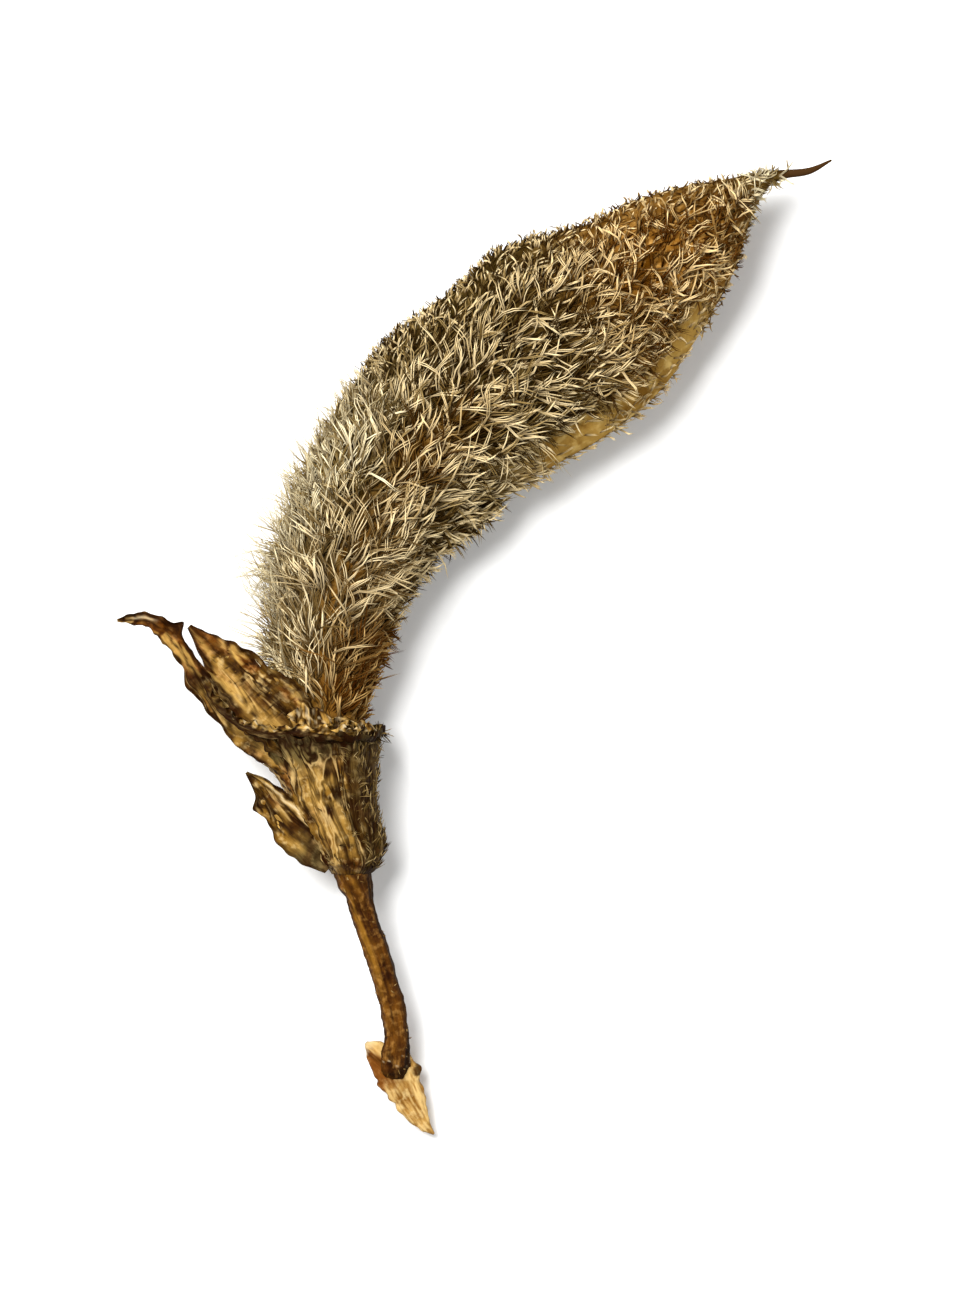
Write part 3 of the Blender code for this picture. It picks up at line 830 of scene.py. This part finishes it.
# A dark line along the edge that faces the cup is a painted shadow of the gap between them, and the dark
# crease beside the ridge is painted shade of the fold. The bright ridge is a painted highlight with pale
# painted glints, fold valleys get painted shade and fold crests a painted highlight. Dark marks, the other
# edge, the tip, a spike and the foot are darker, and the foot is olive.
bracteole = add_rings(
    "bracteole_flap", bract_points, "bracteole", "bracteole", grain=grain,
    stain=smooth_step(ragged, 0.74, 0.82) + 1.2 * hill(ragged, 0.40, 0.10)
    + hill(ragged, -0.30, 0.10) * hill(share, 0.35, 0.18) + smooth_step(share, 0.84, 0.95)
    + 0.9 * smooth_step(-ragged, 0.85, 0.97) + 0.9 * smooth_step(-folds, 0.3, 1.0)
    + hill(share, 0.70, 0.05) * smooth_step(-s, 0.5, 0.9)
    + 0.6 * (1 - smooth_step(share + 0.05 * folds, 0.10, 0.30)),
    glow=(hill(ragged, 0.58, 0.13) + smooth_step(folds, 0.1, 0.8)) * smooth_step(share, 0.15, 0.35),
    olive=0.7 * (1 - smooth_step(share, 0.15, 0.40)),
    rust=0.7 * smooth_step(wander(bract_points, 0.8, 49), 0.0, 0.8),
    frost=0.9 * hill(ragged, 0.62, 0.06) * smooth_step(share, 0.15, 0.3)
    * (1 - smooth_step(share, 0.75, 0.9)),
)

# %% [markdown]
# ## The stalk and its torn heel
#
# The stalk is round and drawn into fine ribs as it dries. At its foot it tore away with a sliver of the
# mother stem: pale wood with ragged edges, and brown bark left on its upper part, up to a dark torn line with
# a pale corner above it.

# %% The stalk
PEDICEL = (
    (-2.72, 10.30, 1.98, 0.70, 0.66),
    (-2.66, 9.70, 1.97, 0.72, 0.70),
    (-2.46, 9.00, 1.94, 0.56, 0.56),
    (-2.16, 7.90, 1.86, 0.48, 0.46),
    (-1.62, 6.30, 1.70, 0.46, 0.44),
    (-1.16, 4.70, 1.50, 0.46, 0.44),
    (-1.00, 3.50, 1.32, 0.47, 0.45),
    (-1.04, 2.85, 1.20, 0.54, 0.50),
    (-1.08, 2.35, 1.04, 0.58, 0.44),
    (-1.06, 1.98, 0.84, 0.40, 0.28),
)
STALK_RINGS, STALK_SIDES = 190, 60
STALK_RADIUS, STALK_LENGTH = 0.5, 8.8
stalk_share, stalk_angle = skin_grid(STALK_RINGS, STALK_SIDES)
rows = read_line(PEDICEL, stalk_share)
_, across, through = line_axes(PEDICEL, stalk_share)
grain = straight_grain(stalk_angle, stalk_share, STALK_RADIUS, STALK_LENGTH)
folds = 0.7 * long_folds(grain, 0.45, 54) + 0.5 * long_folds(grain, 0.16, 55)
ribs = 1 + 0.07 * folds
wide = rows[..., 3] * np.cos(stalk_angle) * ribs
tall = rows[..., 4] * np.sin(stalk_angle) * ribs
stalk_points = rows[..., :3] + wide[..., None] * across + tall[..., None] * through
dents = 0.03 * wander(stalk_points, 0.8, 51) + 0.012 * wander(stalk_points, 0.22, 52)
stalk_points += dents[..., None] * unit(stalk_points - rows[..., :3])
knot = smooth_step(stalk_share + 0.014 * folds - 0.055 * np.cos(stalk_angle), 0.85, 0.90)
# top_light is a painted highlight along the upper left of the stalk, fading towards its foot.
top_light = hill(stalk_angle, 1.2, 0.42) * (1 - 0.8 * smooth_step(stalk_share, 0.35, 0.6))
to_right = np.cos(stalk_angle)
# Painted shade darkens the right side of the stalk, which is turned from the light, a thin edge on its left
# and its fold valleys. The knot at the foot is its own dark colour, deepest on the right, with a few pale
# flecks just above it.
stalk = add_rings(
    "stalk", stalk_points, "pedicel", "pedicel", grain=grain,
    stain=0.95 * smooth_step(-to_right, 0.58, 0.88) + 0.8 * smooth_step(to_right, 0.84, 0.96)
    + knot * (0.55 + 0.45 * smooth_step(-to_right, -0.5, 0.5))
    + 0.7 * smooth_step(-folds, 0.3, 1.0) * (1 - 0.6 * top_light),
    glow=0.55 * top_light * smooth_step(folds, -0.6, 0.4),
    frost=0.4 * smooth_step(wander(stalk_points, 0.20, 56), 0.85, 1.0) * hill(stalk_share, 0.80, 0.04),
)

# %% The torn heel
HEEL = (
    (-2.16, 3.26, 0.95, 0.08, 0.22),
    (-1.78, 2.95, 0.92, 0.46, 0.30),
    (-1.12, 2.30, 0.80, 0.84, 0.36),
    (-0.74, 1.60, 0.66, 0.68, 0.36),
    (-0.38, 0.85, 0.52, 0.50, 0.32),
    (0.04, 0.18, 0.42, 0.26, 0.28),
    (0.38, -0.16, 0.36, 0.05, 0.22),
)
HEEL_RINGS, HEEL_SIDES = 110, 60
HEEL_LENGTH, HEEL_CURL = 4.3, 0.12
heel_share, heel_angle = skin_grid(HEEL_RINGS, HEEL_SIDES)
rows = read_line(HEEL, heel_share)
_, across, through = line_axes(HEEL, heel_share)
s = np.cos(heel_angle)
edge_way = np.stack([heel_share * HEEL_LENGTH, np.sign(s) * 2, 0 * s], -1)
splinter = 1 + (0.07 * wander(edge_way, 1.1, 61) + 0.06 * wander(edge_way, 0.3, 66)) * np.abs(s) ** 3
nub = 0.16 * hill(heel_share, 0.42, 0.03) * smooth_step(-s, 0.5, 1.0)
wide = rows[..., 3] * s * splinter - nub
tall = rows[..., 4] * signed_power(np.sin(heel_angle), 0.45) + rows[..., 3] * HEEL_CURL * s**2
heel_points = rows[..., :3] + wide[..., None] * across + tall[..., None] * through
grain = np.stack([wide, 0.2 * np.sin(heel_angle), heel_share * HEEL_LENGTH], -1)
folds = 0.7 * long_folds(grain, 0.45, 62) + 0.6 * long_folds(grain, 0.15, 63)
heel_points[..., 2] = np.maximum(heel_points[..., 2] + 0.05 * folds, 0.0)
slanted = heel_points[..., 1] + 0.62 * heel_points[..., 0]
torn_line = hill(slanted, 1.60, 0.10) * hill(heel_points[..., 0], -1.7, 0.4)
corner = smooth_step(slanted + 0.05 * folds, 1.70, 1.90)
ragged = heel_share + 0.03 * folds + 0.04 * wander(heel_points, 0.7, 64) - 0.10 * s
bark_left = 1 - smooth_step(ragged, 0.28, 0.46)
# Fold crests of the pale wood and of its pale corner are lightened as a painted highlight, and deep fold
# valleys are darkened as painted shade. The bark, the torn line, the nub, the edges and the tip are darker,
# and the olive ends and the pale top are the wood's own colour.
heel = add_rings(
    "heel_sliver", heel_points, "heel", "heel", grain=grain,
    stain=0.4 * bark_left * (1 - corner) + torn_line + 0.4 * smooth_step(np.abs(s), 0.95, 0.99)
    + smooth_step(nub, 0.02, 0.06) + 0.3 * smooth_step(heel_share, 0.90, 0.98)
    + 0.5 * smooth_step(-folds, 0.7, 1.2),
    glow=(1 - bark_left) * smooth_step(folds, 0.0, 0.8) + 0.7 * corner * smooth_step(folds, -0.4, 0.4),
    rust=bark_left * (1 - corner),
    olive=1 - smooth_step(heel_share + 0.03 * folds, 0.02, 0.06)
    + 0.5 * smooth_step(heel_share, 0.78, 0.95) * smooth_step(np.abs(s), 0.5, 0.9)
    + smooth_step(nub, 0.02, 0.06),
    frost=0.4 * (1 - smooth_step(heel_share + 0.04 * folds, 0.07, 0.14)),
)

# %% [markdown]
# ## Short hairs on the calyx and stalk
#
# The calyx and stalk carry the same silky hairs, only shorter and lying flat. They are dense on the strip at
# the cup's right side and sparse elsewhere, so each skin's grid is used again to place the roots.

# %% Grow short hairs
SHORT_HAIR_THIN, SHORT_HAIR_THICK = 0.024, 0.038
SHORT_TURN, SHORT_WAVE, SHORT_SHADE = 0.5, 0.06, 0.55


def short_hairs(name, skin, keep, wisps, length, lift, slot, seed, tint):
    """Wisps that head along the piece, turned a little by chance, on the places where keep is high."""
    draw = np.random.default_rng(seed)
    place, along, around, normal, _, _ = draw_roots(skin, keep, wisps, draw)
    bright = draw.uniform(0, 1, wisps)
    paths = wisp_paths(
        place, along, around, normal, draw.normal(0, SHORT_TURN, wisps),
        length * draw.uniform(0.6, 1.1, wisps), lift * (0.4 + bright), SHORT_WAVE + 0 * bright, draw,
    )
    shade, none = np.repeat(SHORT_SHADE * bright**2, WISP), np.zeros(wisps * WISP)
    thickness = draw.uniform(SHORT_HAIR_THIN, SHORT_HAIR_THICK, len(paths))
    return add_hairs(name, paths, thickness, slot, shade=shade, warm=none + tint, fringe=none)


cup_keep = (strip + 0.05 + 0.5 * (1 - smooth_step(cup_height, 0.1, 0.25))) * (1 - cup_inside)
cup_keep = cup_keep * smooth_step(cup_height, 0.03, 0.08) * (1 - smooth_step(cup_height, 0.86, 0.92))
hairs.append(short_hairs("hair_calyx", cup_points, cup_keep, 1500, 0.60, 0.12, "calyx", 81, 0.05))
stalk_keep = 1.0 + 0 * stalk_share
hairs.append(short_hairs("hair_stalk", stalk_points, stalk_keep, 160, 0.26, 0.25, "pedicel", 82, 0.6))

# %% [markdown]
# ## Finishes
#
# Nearly all finishes are built from three small groups of nodes. One breaks a surface into soft blotches of
# three colours, as dry plant skin has. One draws fine lines along the piece, for veins and fibres. The last
# draws the short sharp wrinkles of dry paper, with painted shade in each crease and a painted highlight on a
# pale lip beside it. Hairs only need plain colours.

# %% Helpers for node groups and materials
COLOUR, NUMBER, VECTOR = "NodeSocketColor", "NodeSocketFloat", "NodeSocketVector"


def new_group(name, inputs, outputs):
    """An empty node group with named sockets, and its input and output nodes."""
    group = bpy.data.node_groups.new(name, "ShaderNodeTree")
    for label, kind, value in inputs:
        socket = group.interface.new_socket(label, in_out="INPUT", socket_type=kind)
        if value is not None:
            socket.default_value = value
    for label, kind in outputs:
        group.interface.new_socket(label, in_out="OUTPUT", socket_type=kind)
    return group, group.nodes.new("NodeGroupInput"), group.nodes.new("NodeGroupOutput")


def fill_sockets(tree, made, inputs):
    """Links each input to a socket, or sets its value."""
    for key, value in inputs.items():
        if isinstance(value, bpy.types.NodeSocket):
            tree.links.new(value, made.inputs[key])
        else:
            made.inputs[key].default_value = value
    return made


def node(tree, kind, inputs=(), **settings):
    """Adds a node, makes its own settings, then sets or links each input."""
    made = tree.nodes.new(kind)
    for key, value in settings.items():
        setattr(made, key, value)
    return fill_sockets(tree, made, dict(inputs))


def maths(tree, operation, first, second):
    return node(tree, "ShaderNodeMath", {0: first, 1: second}, operation=operation).outputs[0]


def place_group(tree, group, **inputs):
    return fill_sockets(tree, node(tree, "ShaderNodeGroup", node_tree=group), inputs)


def blend_colours(tree, share, low, high, kind="MIX"):
    """A colour that runs from low to high as share runs from 0 to 1. Sockets 6, 7 and 2 of a Mix node are its
    two colours and the mixed one."""
    made = node(tree, "ShaderNodeMix", {0: share, 6: low, 7: high}, data_type="RGBA", blend_type=kind)
    return made.outputs[2]


def spread_out(tree, value, low, high, to_low=0.0, to_high=1.0):
    """Stretches the values between low and high over to_low to to_high."""
    inputs = {"Value": value, "From Min": low, "From Max": high, "To Min": to_low, "To Max": to_high}
    return node(tree, "ShaderNodeMapRange", inputs).outputs[0]


def read_value(tree, name, output="Fac"):
    """What the mesh keeps under this name."""
    return node(tree, "ShaderNodeAttribute", attribute_name=name).outputs[output]


def noise(tree, place, scale, **inputs):
    """Blender's own noise, a number of about 0.3 to 0.7."""
    return node(tree, "ShaderNodeTexNoise", {"Vector": place, "Scale": scale, **inputs}).outputs["Fac"]


def times_vector(tree, vector, by):
    """A vector times another, part by part."""
    return node(tree, "ShaderNodeVectorMath", {0: vector, 1: by}, operation="MULTIPLY").outputs[0]


def rgb(red, green, blue):
    return (red, green, blue, 1.0)


# %% Blotches, streaks and wrinkles, the shared groups
blotches, given, result = new_group(
    "blotches",
    [
        ("Place", VECTOR, None), ("Scale", NUMBER, 900.0),
        ("Dark", COLOUR, None), ("Middle", COLOUR, None), ("Pale", COLOUR, None),
    ],
    [("Color", COLOUR), ("Height", NUMBER)],
)
place, scale = given.outputs["Place"], given.outputs["Scale"]
coarse = noise(blotches, place, scale, Detail=5.0, Roughness=0.65)
fine = noise(blotches, place, maths(blotches, "MULTIPLY", scale, 3.7), Detail=3.0)
middle_share = spread_out(blotches, coarse, 0.36, 0.54)
mottled = blend_colours(blotches, middle_share, given.outputs["Dark"], given.outputs["Middle"])
mottled = blend_colours(blotches, spread_out(blotches, fine, 0.50, 0.70), mottled, given.outputs["Pale"])
blotches.links.new(mottled, result.inputs["Color"])
blotches.links.new(maths(blotches, "ADD", coarse, fine), result.inputs["Height"])

streaks, given, result = new_group(
    "streaks",
    [("Grain", VECTOR, None), ("Fine", NUMBER, 4.0), ("Stretch", NUMBER, 0.12)],
    [("Line", NUMBER)],
)
stretch = {"X": 1.0, "Y": 1.0, "Z": given.outputs["Stretch"]}
stretch = node(streaks, "ShaderNodeCombineXYZ", stretch).outputs[0]
drawn_out = times_vector(streaks, given.outputs["Grain"], stretch)
streak = noise(streaks, drawn_out, given.outputs["Fine"], Detail=4.0, Roughness=0.7)
streaks.links.new(spread_out(streaks, streak, 0.38, 0.62), result.inputs["Line"])

wrinkles, given, result = new_group(
    "wrinkles", [("Grain", VECTOR, None), ("Scale", NUMBER, 1.3)], [("Crease", NUMBER), ("Lip", NUMBER)],
)
drawn_out = times_vector(wrinkles, given.outputs["Grain"], (1.0, 1.0, 0.30))
wrinkle = noise(wrinkles, drawn_out, given.outputs["Scale"], Detail=3.0, Roughness=0.55, Distortion=0.7)
here = noise(wrinkles, drawn_out, maths(wrinkles, "MULTIPLY", given.outputs["Scale"], 0.7), Detail=1.0)
here = spread_out(wrinkles, here, 0.42, 0.56)
from_line = maths(wrinkles, "ABSOLUTE", maths(wrinkles, "SUBTRACT", wrinkle, 0.5), 0.0)
from_lip = maths(wrinkles, "ABSOLUTE", maths(wrinkles, "SUBTRACT", wrinkle, 0.57), 0.0)
# The crease later darkens the colour as painted shade, and the lip beside it lightens it as a painted
# highlight.
crease = maths(wrinkles, "MULTIPLY", spread_out(wrinkles, from_line, 0.045, 0.012), here)
lip = maths(wrinkles, "MULTIPLY", spread_out(wrinkles, from_lip, 0.035, 0.008), here)
wrinkles.links.new(crease, result.inputs["Crease"])
wrinkles.links.new(lip, result.inputs["Lip"])


def new_finish(name, roughness, specular=0.35):
    """A material whose Principled shader has fixed gloss, and the piece's own coordinates."""
    material = bpy.data.materials.new(name)
    material.use_nodes = True
    tree = material.node_tree
    shader = tree.nodes["Principled BSDF"]
    shader.inputs["Roughness"].default_value = roughness
    shader.inputs["Specular IOR Level"].default_value = specular
    return material, tree, shader, tree.nodes.new("ShaderNodeTexCoord").outputs["Object"]


def raise_bumps(tree, shader, height, depth, strength):
    """Bumps that stand depth mm high where height is 1."""
    bump = node(tree, "ShaderNodeBump", {"Height": height, "Distance": depth * MM, "Strength": strength})
    tree.links.new(bump.outputs["Normal"], shader.inputs["Normal"])


# %% Dry skin of the pod
# The green blotches are very dark: the skin's own dark olive together with painted shade for the gaps between
# the hairs.
SKIN_GREEN = dict(Dark=rgb(0.008, 0.004, 0.0), Middle=rgb(0.026, 0.015, 0.002), Pale=rgb(0.08, 0.050, 0.012))
SKIN_ORANGE = dict(Dark=rgb(0.075, 0.026, 0.001), Middle=rgb(0.23, 0.10, 0.014), Pale=rgb(0.44, 0.235, 0.058))
SKIN_GOLD = dict(Dark=rgb(0.17, 0.080, 0.010), Middle=rgb(0.36, 0.21, 0.045), Pale=rgb(0.56, 0.38, 0.12))
skin, tree, shader, place = new_finish("pod_skin", 0.7, 0.01)
green = place_group(tree, blotches, Place=place, Scale=700.0, **SKIN_GREEN)
orange = place_group(tree, blotches, Place=place, Scale=800.0, **SKIN_ORANGE)
gold = place_group(tree, blotches, Place=place, Scale=500.0, **SKIN_GOLD)
colour = blend_colours(tree, read_value(tree, "warm"), green.outputs["Color"], orange.outputs["Color"])
colour = blend_colours(tree, read_value(tree, "bare"), colour, gold.outputs["Color"])
colour = blend_colours(tree, read_value(tree, "thread"), colour, rgb(0.045, 0.020, 0.006))
tree.links.new(colour, shader.inputs["Base Color"])
raise_bumps(tree, shader, green.outputs["Height"], 0.08, 0.6)
pod.data.materials.append(skin)
print("skin:", skin.name, "with", len(tree.nodes), "nodes")

# %% Silky hairs, straw on the pod and browner towards its tip
silk, tree, shader, _ = new_finish("silky_hair", 0.5, 0.01)
shade = read_value(tree, "shade")
straw = blend_colours(tree, shade, rgb(0.018, 0.008, 0.0003), rgb(0.92, 0.735, 0.41))
rust = blend_colours(tree, shade, rgb(0.085, 0.029, 0.001), rgb(0.97, 0.71, 0.34))
cream = blend_colours(tree, shade, rgb(0.22, 0.140, 0.035), rgb(0.98, 0.87, 0.58))
colour = blend_colours(tree, read_value(tree, "warm"), straw, rust)
tan = blend_colours(tree, spread_out(tree, shade, 0.0, 0.85), rgb(1.0, 0.77, 0.30), rgb(1.0, 1.0, 1.0))
colour = blend_colours(tree, 1.0, colour, tan, "MULTIPLY")
colour = blend_colours(tree, read_value(tree, "fringe"), colour, cream)
from_root = spread_out(tree, read_value(tree, "reach"), 0.05, 0.75)
root_shade = blend_colours(tree, from_root, rgb(0.08, 0.040, 0.008), rgb(1.0, 1.0, 1.0))
tree.links.new(blend_colours(tree, 1.0, colour, root_shade, "MULTIPLY"), shader.inputs["Base Color"])
for piece in hairs:
    piece.data.materials.append(silk)
print("hair on:", [piece.name for piece in hairs])


# %% Dry paper, bark and torn wood
def dry_finish(name, dark, middle, pale, stain, glow, scale, fine, wrinkled):
    """Blotches of three colours, darkened in streaks along the piece. Where the mesh says so, it is rusty,
    olive, golden with painted highlights, stained and darkened as painted shade, and flecked pale with
    painted highlights. Wrinkles cut through all of it, as strongly as wrinkled says, and less where the
    piece is golden and highlighted: painted shade in each crease and a painted highlight on the pale lip
    beside it. Streaks are weaker there too."""
    material, tree, shader, place = new_finish(name, 0.55, 0.03)
    grain = read_value(tree, "grain", "Vector")
    tones = dict(Dark=rgb(*dark), Middle=rgb(*middle), Pale=rgb(*pale))
    base = place_group(tree, blotches, Place=place, Scale=scale, **tones)
    line = place_group(tree, streaks, Grain=grain, Fine=fine).outputs["Line"]
    fold = place_group(tree, wrinkles, Grain=grain)
    wrinkled = spread_out(tree, read_value(tree, "glow"), 0.0, 1.0, wrinkled, 0.35 * wrinkled)
    even = spread_out(tree, read_value(tree, "glow"), 0.0, 0.8, 1.0, 0.35)
    crease = maths(tree, "MULTIPLY", fold.outputs["Crease"], wrinkled)
    lip = maths(tree, "MULTIPLY", fold.outputs["Lip"], wrinkled)
    lip = maths(tree, "MULTIPLY", lip, spread_out(tree, read_value(tree, "olive"), 0.0, 0.8, 1.0, 0.25))
    colour = blend_colours(tree, read_value(tree, "olive"), base.outputs["Color"], rgb(0.105, 0.078, 0.026))
    streak_share = maths(tree, "MULTIPLY", spread_out(tree, line, 0.6, 0.0, 0.0, 0.6), even)
    colour = blend_colours(tree, streak_share, colour, rgb(*dark))
    colour = blend_colours(tree, read_value(tree, "rust"), colour, rgb(0.55, 0.34, 0.20), "MULTIPLY")
    # Golden tone, and painted highlights on fold crests and ridges, where the mesh asks for them.
    pale_share = maths(tree, "MULTIPLY", read_value(tree, "glow"), spread_out(tree, line, 0.0, 0.7, 0.5, 1.0))
    colour = blend_colours(tree, pale_share, colour, rgb(*glow))
    # The lip beside each wrinkle is lightened as a painted highlight.
    colour = blend_colours(tree, maths(tree, "MULTIPLY", lip, 0.8), colour, rgb(*pale))
    # Stains, and painted shade in fold valleys, gaps and hollows, take the darkest colour.
    stain_share = spread_out(tree, line, 0.3, 1.0, 0.95, 0.65)
    stain_share = maths(tree, "MULTIPLY", read_value(tree, "stain"), stain_share)
    colour = blend_colours(tree, stain_share, colour, rgb(*stain))
    # Pale flecks, and painted highlights on crests and ridges, in one cream colour.
    colour = blend_colours(tree, read_value(tree, "frost"), colour, rgb(0.64, 0.51, 0.30))
    # Each wrinkle's crease is darkened as painted shade.
    colour = blend_colours(tree, crease, colour, rgb(*stain))
    tree.links.new(colour, shader.inputs["Base Color"])
    height = maths(tree, "ADD", maths(tree, "ADD", base.outputs["Height"], line), lip)
    raise_bumps(tree, shader, maths(tree, "SUBTRACT", height, crease), 0.05, 0.6)
    return material


paper = dry_finish(
    "calyx_paper", dark=(0.026, 0.006, 0.001), middle=(0.205, 0.100, 0.013), pale=(0.58, 0.39, 0.15),
    stain=(0.012, 0.003, 0.0), glow=(0.50, 0.295, 0.072), scale=900.0, fine=5.0, wrinkled=0.95,
)
bark = dry_finish(
    "stalk_bark", dark=(0.026, 0.006, 0.001), middle=(0.105, 0.036, 0.003), pale=(0.25, 0.115, 0.024),
    stain=(0.010, 0.003, 0.0), glow=(0.32, 0.150, 0.016), scale=1100.0, fine=6.0, wrinkled=0.6,
)
wood = dry_finish(
    "torn_wood", dark=(0.22, 0.092, 0.012), middle=(0.45, 0.25, 0.062), pale=(0.66, 0.46, 0.19),
    stain=(0.050, 0.015, 0.001), glow=(0.62, 0.41, 0.15), scale=900.0, fine=5.0, wrinkled=0.35,
)
for piece in (cup, sleeve, rim, broad_tooth, narrow_tooth, bracteole):
    piece.data.materials.append(paper)
stalk.data.materials.append(bark)
heel.data.materials.append(wood)
print("dry finishes:", [finish.name for finish in (paper, bark, wood)])

# %% [markdown]
# ## Floor, light and camera
#
# The pod lies on a plain pale sheet under soft lights, the stronger one from the upper left. The camera looks
# straight down through a long lens, so that the pod is drawn as flat as it lies, in the picture's framing.

# %% A pale floor
FLOOR_HALF = 0.4
corners = [(x * FLOOR_HALF, y * FLOOR_HALF, 0.0) for x, y in ((-1, -1), (1, -1), (1, 1), (-1, 1))]
floor_mesh = bpy.data.meshes.new("floor")
floor_mesh.from_pydata(corners, [], [(0, 1, 2, 3)])
floor = bpy.data.objects.new("floor", floor_mesh)
bpy.context.scene.collection.objects.link(floor)
sheet, tree, shader, place = new_finish("pale_sheet", 0.9, 0.1)
SHEET_WHITE = dict(Dark=rgb(0.89, 0.89, 0.88), Middle=rgb(0.91, 0.91, 0.90), Pale=rgb(0.92, 0.92, 0.91))
grain = place_group(tree, blotches, Place=place, Scale=300.0, **SHEET_WHITE)
tree.links.new(grain.outputs["Color"], shader.inputs["Base Color"])
floor_mesh.materials.append(sheet)
print("floor:", 2 * FLOOR_HALF, "m wide")

# %% Soft lights
# Each light has its place and its width in metres, and its power in watts.
ROOM_LIGHT = 0.38
LIGHTS = {
    "key": ((-0.12, 0.10, 0.26), 0.17, 1.72),
    "fill": ((0.20, -0.10, 0.24), 0.24, 0.30),
}
for name, (spot, size, power) in LIGHTS.items():
    lamp = bpy.data.lights.new(name, "AREA")
    lamp.size = size
    lamp.energy = power
    light = bpy.data.objects.new(name, lamp)
    light.location = spot
    light.rotation_euler = Vector(spot).to_track_quat("Z", "Y").to_euler()
    bpy.context.scene.collection.objects.link(light)

world = bpy.data.worlds.new("soft_room")
bpy.context.scene.world = world
world.use_nodes = True
background = world.node_tree.nodes["Background"]
background.inputs["Color"].default_value = rgb(1.0, 1.0, 1.0)
background.inputs["Strength"].default_value = ROOM_LIGHT
bpy.context.scene.view_settings.view_transform = "Standard"
print("lights:", list(LIGHTS), "and a room of strength", ROOM_LIGHT)

# %% The camera, straight above
LENS_LENGTH, SENSOR = 400.0, 36.0
VIEW_MIDDLE = np.array([2.13, 18.2, 0.0])
VIEW_TALL = 48.6
eye = bpy.data.cameras.new("camera")
eye.lens = LENS_LENGTH
eye.sensor_width = SENSOR
eye.clip_start = 0.01
camera = bpy.data.objects.new("camera", eye)
camera.location = (VIEW_MIDDLE - REST) * MM + np.array([0, 0, VIEW_TALL * MM * LENS_LENGTH / SENSOR])
bpy.context.scene.collection.objects.link(camera)
bpy.context.scene.camera = camera
print("camera at", [round(part, 3) for part in camera.location], "m")
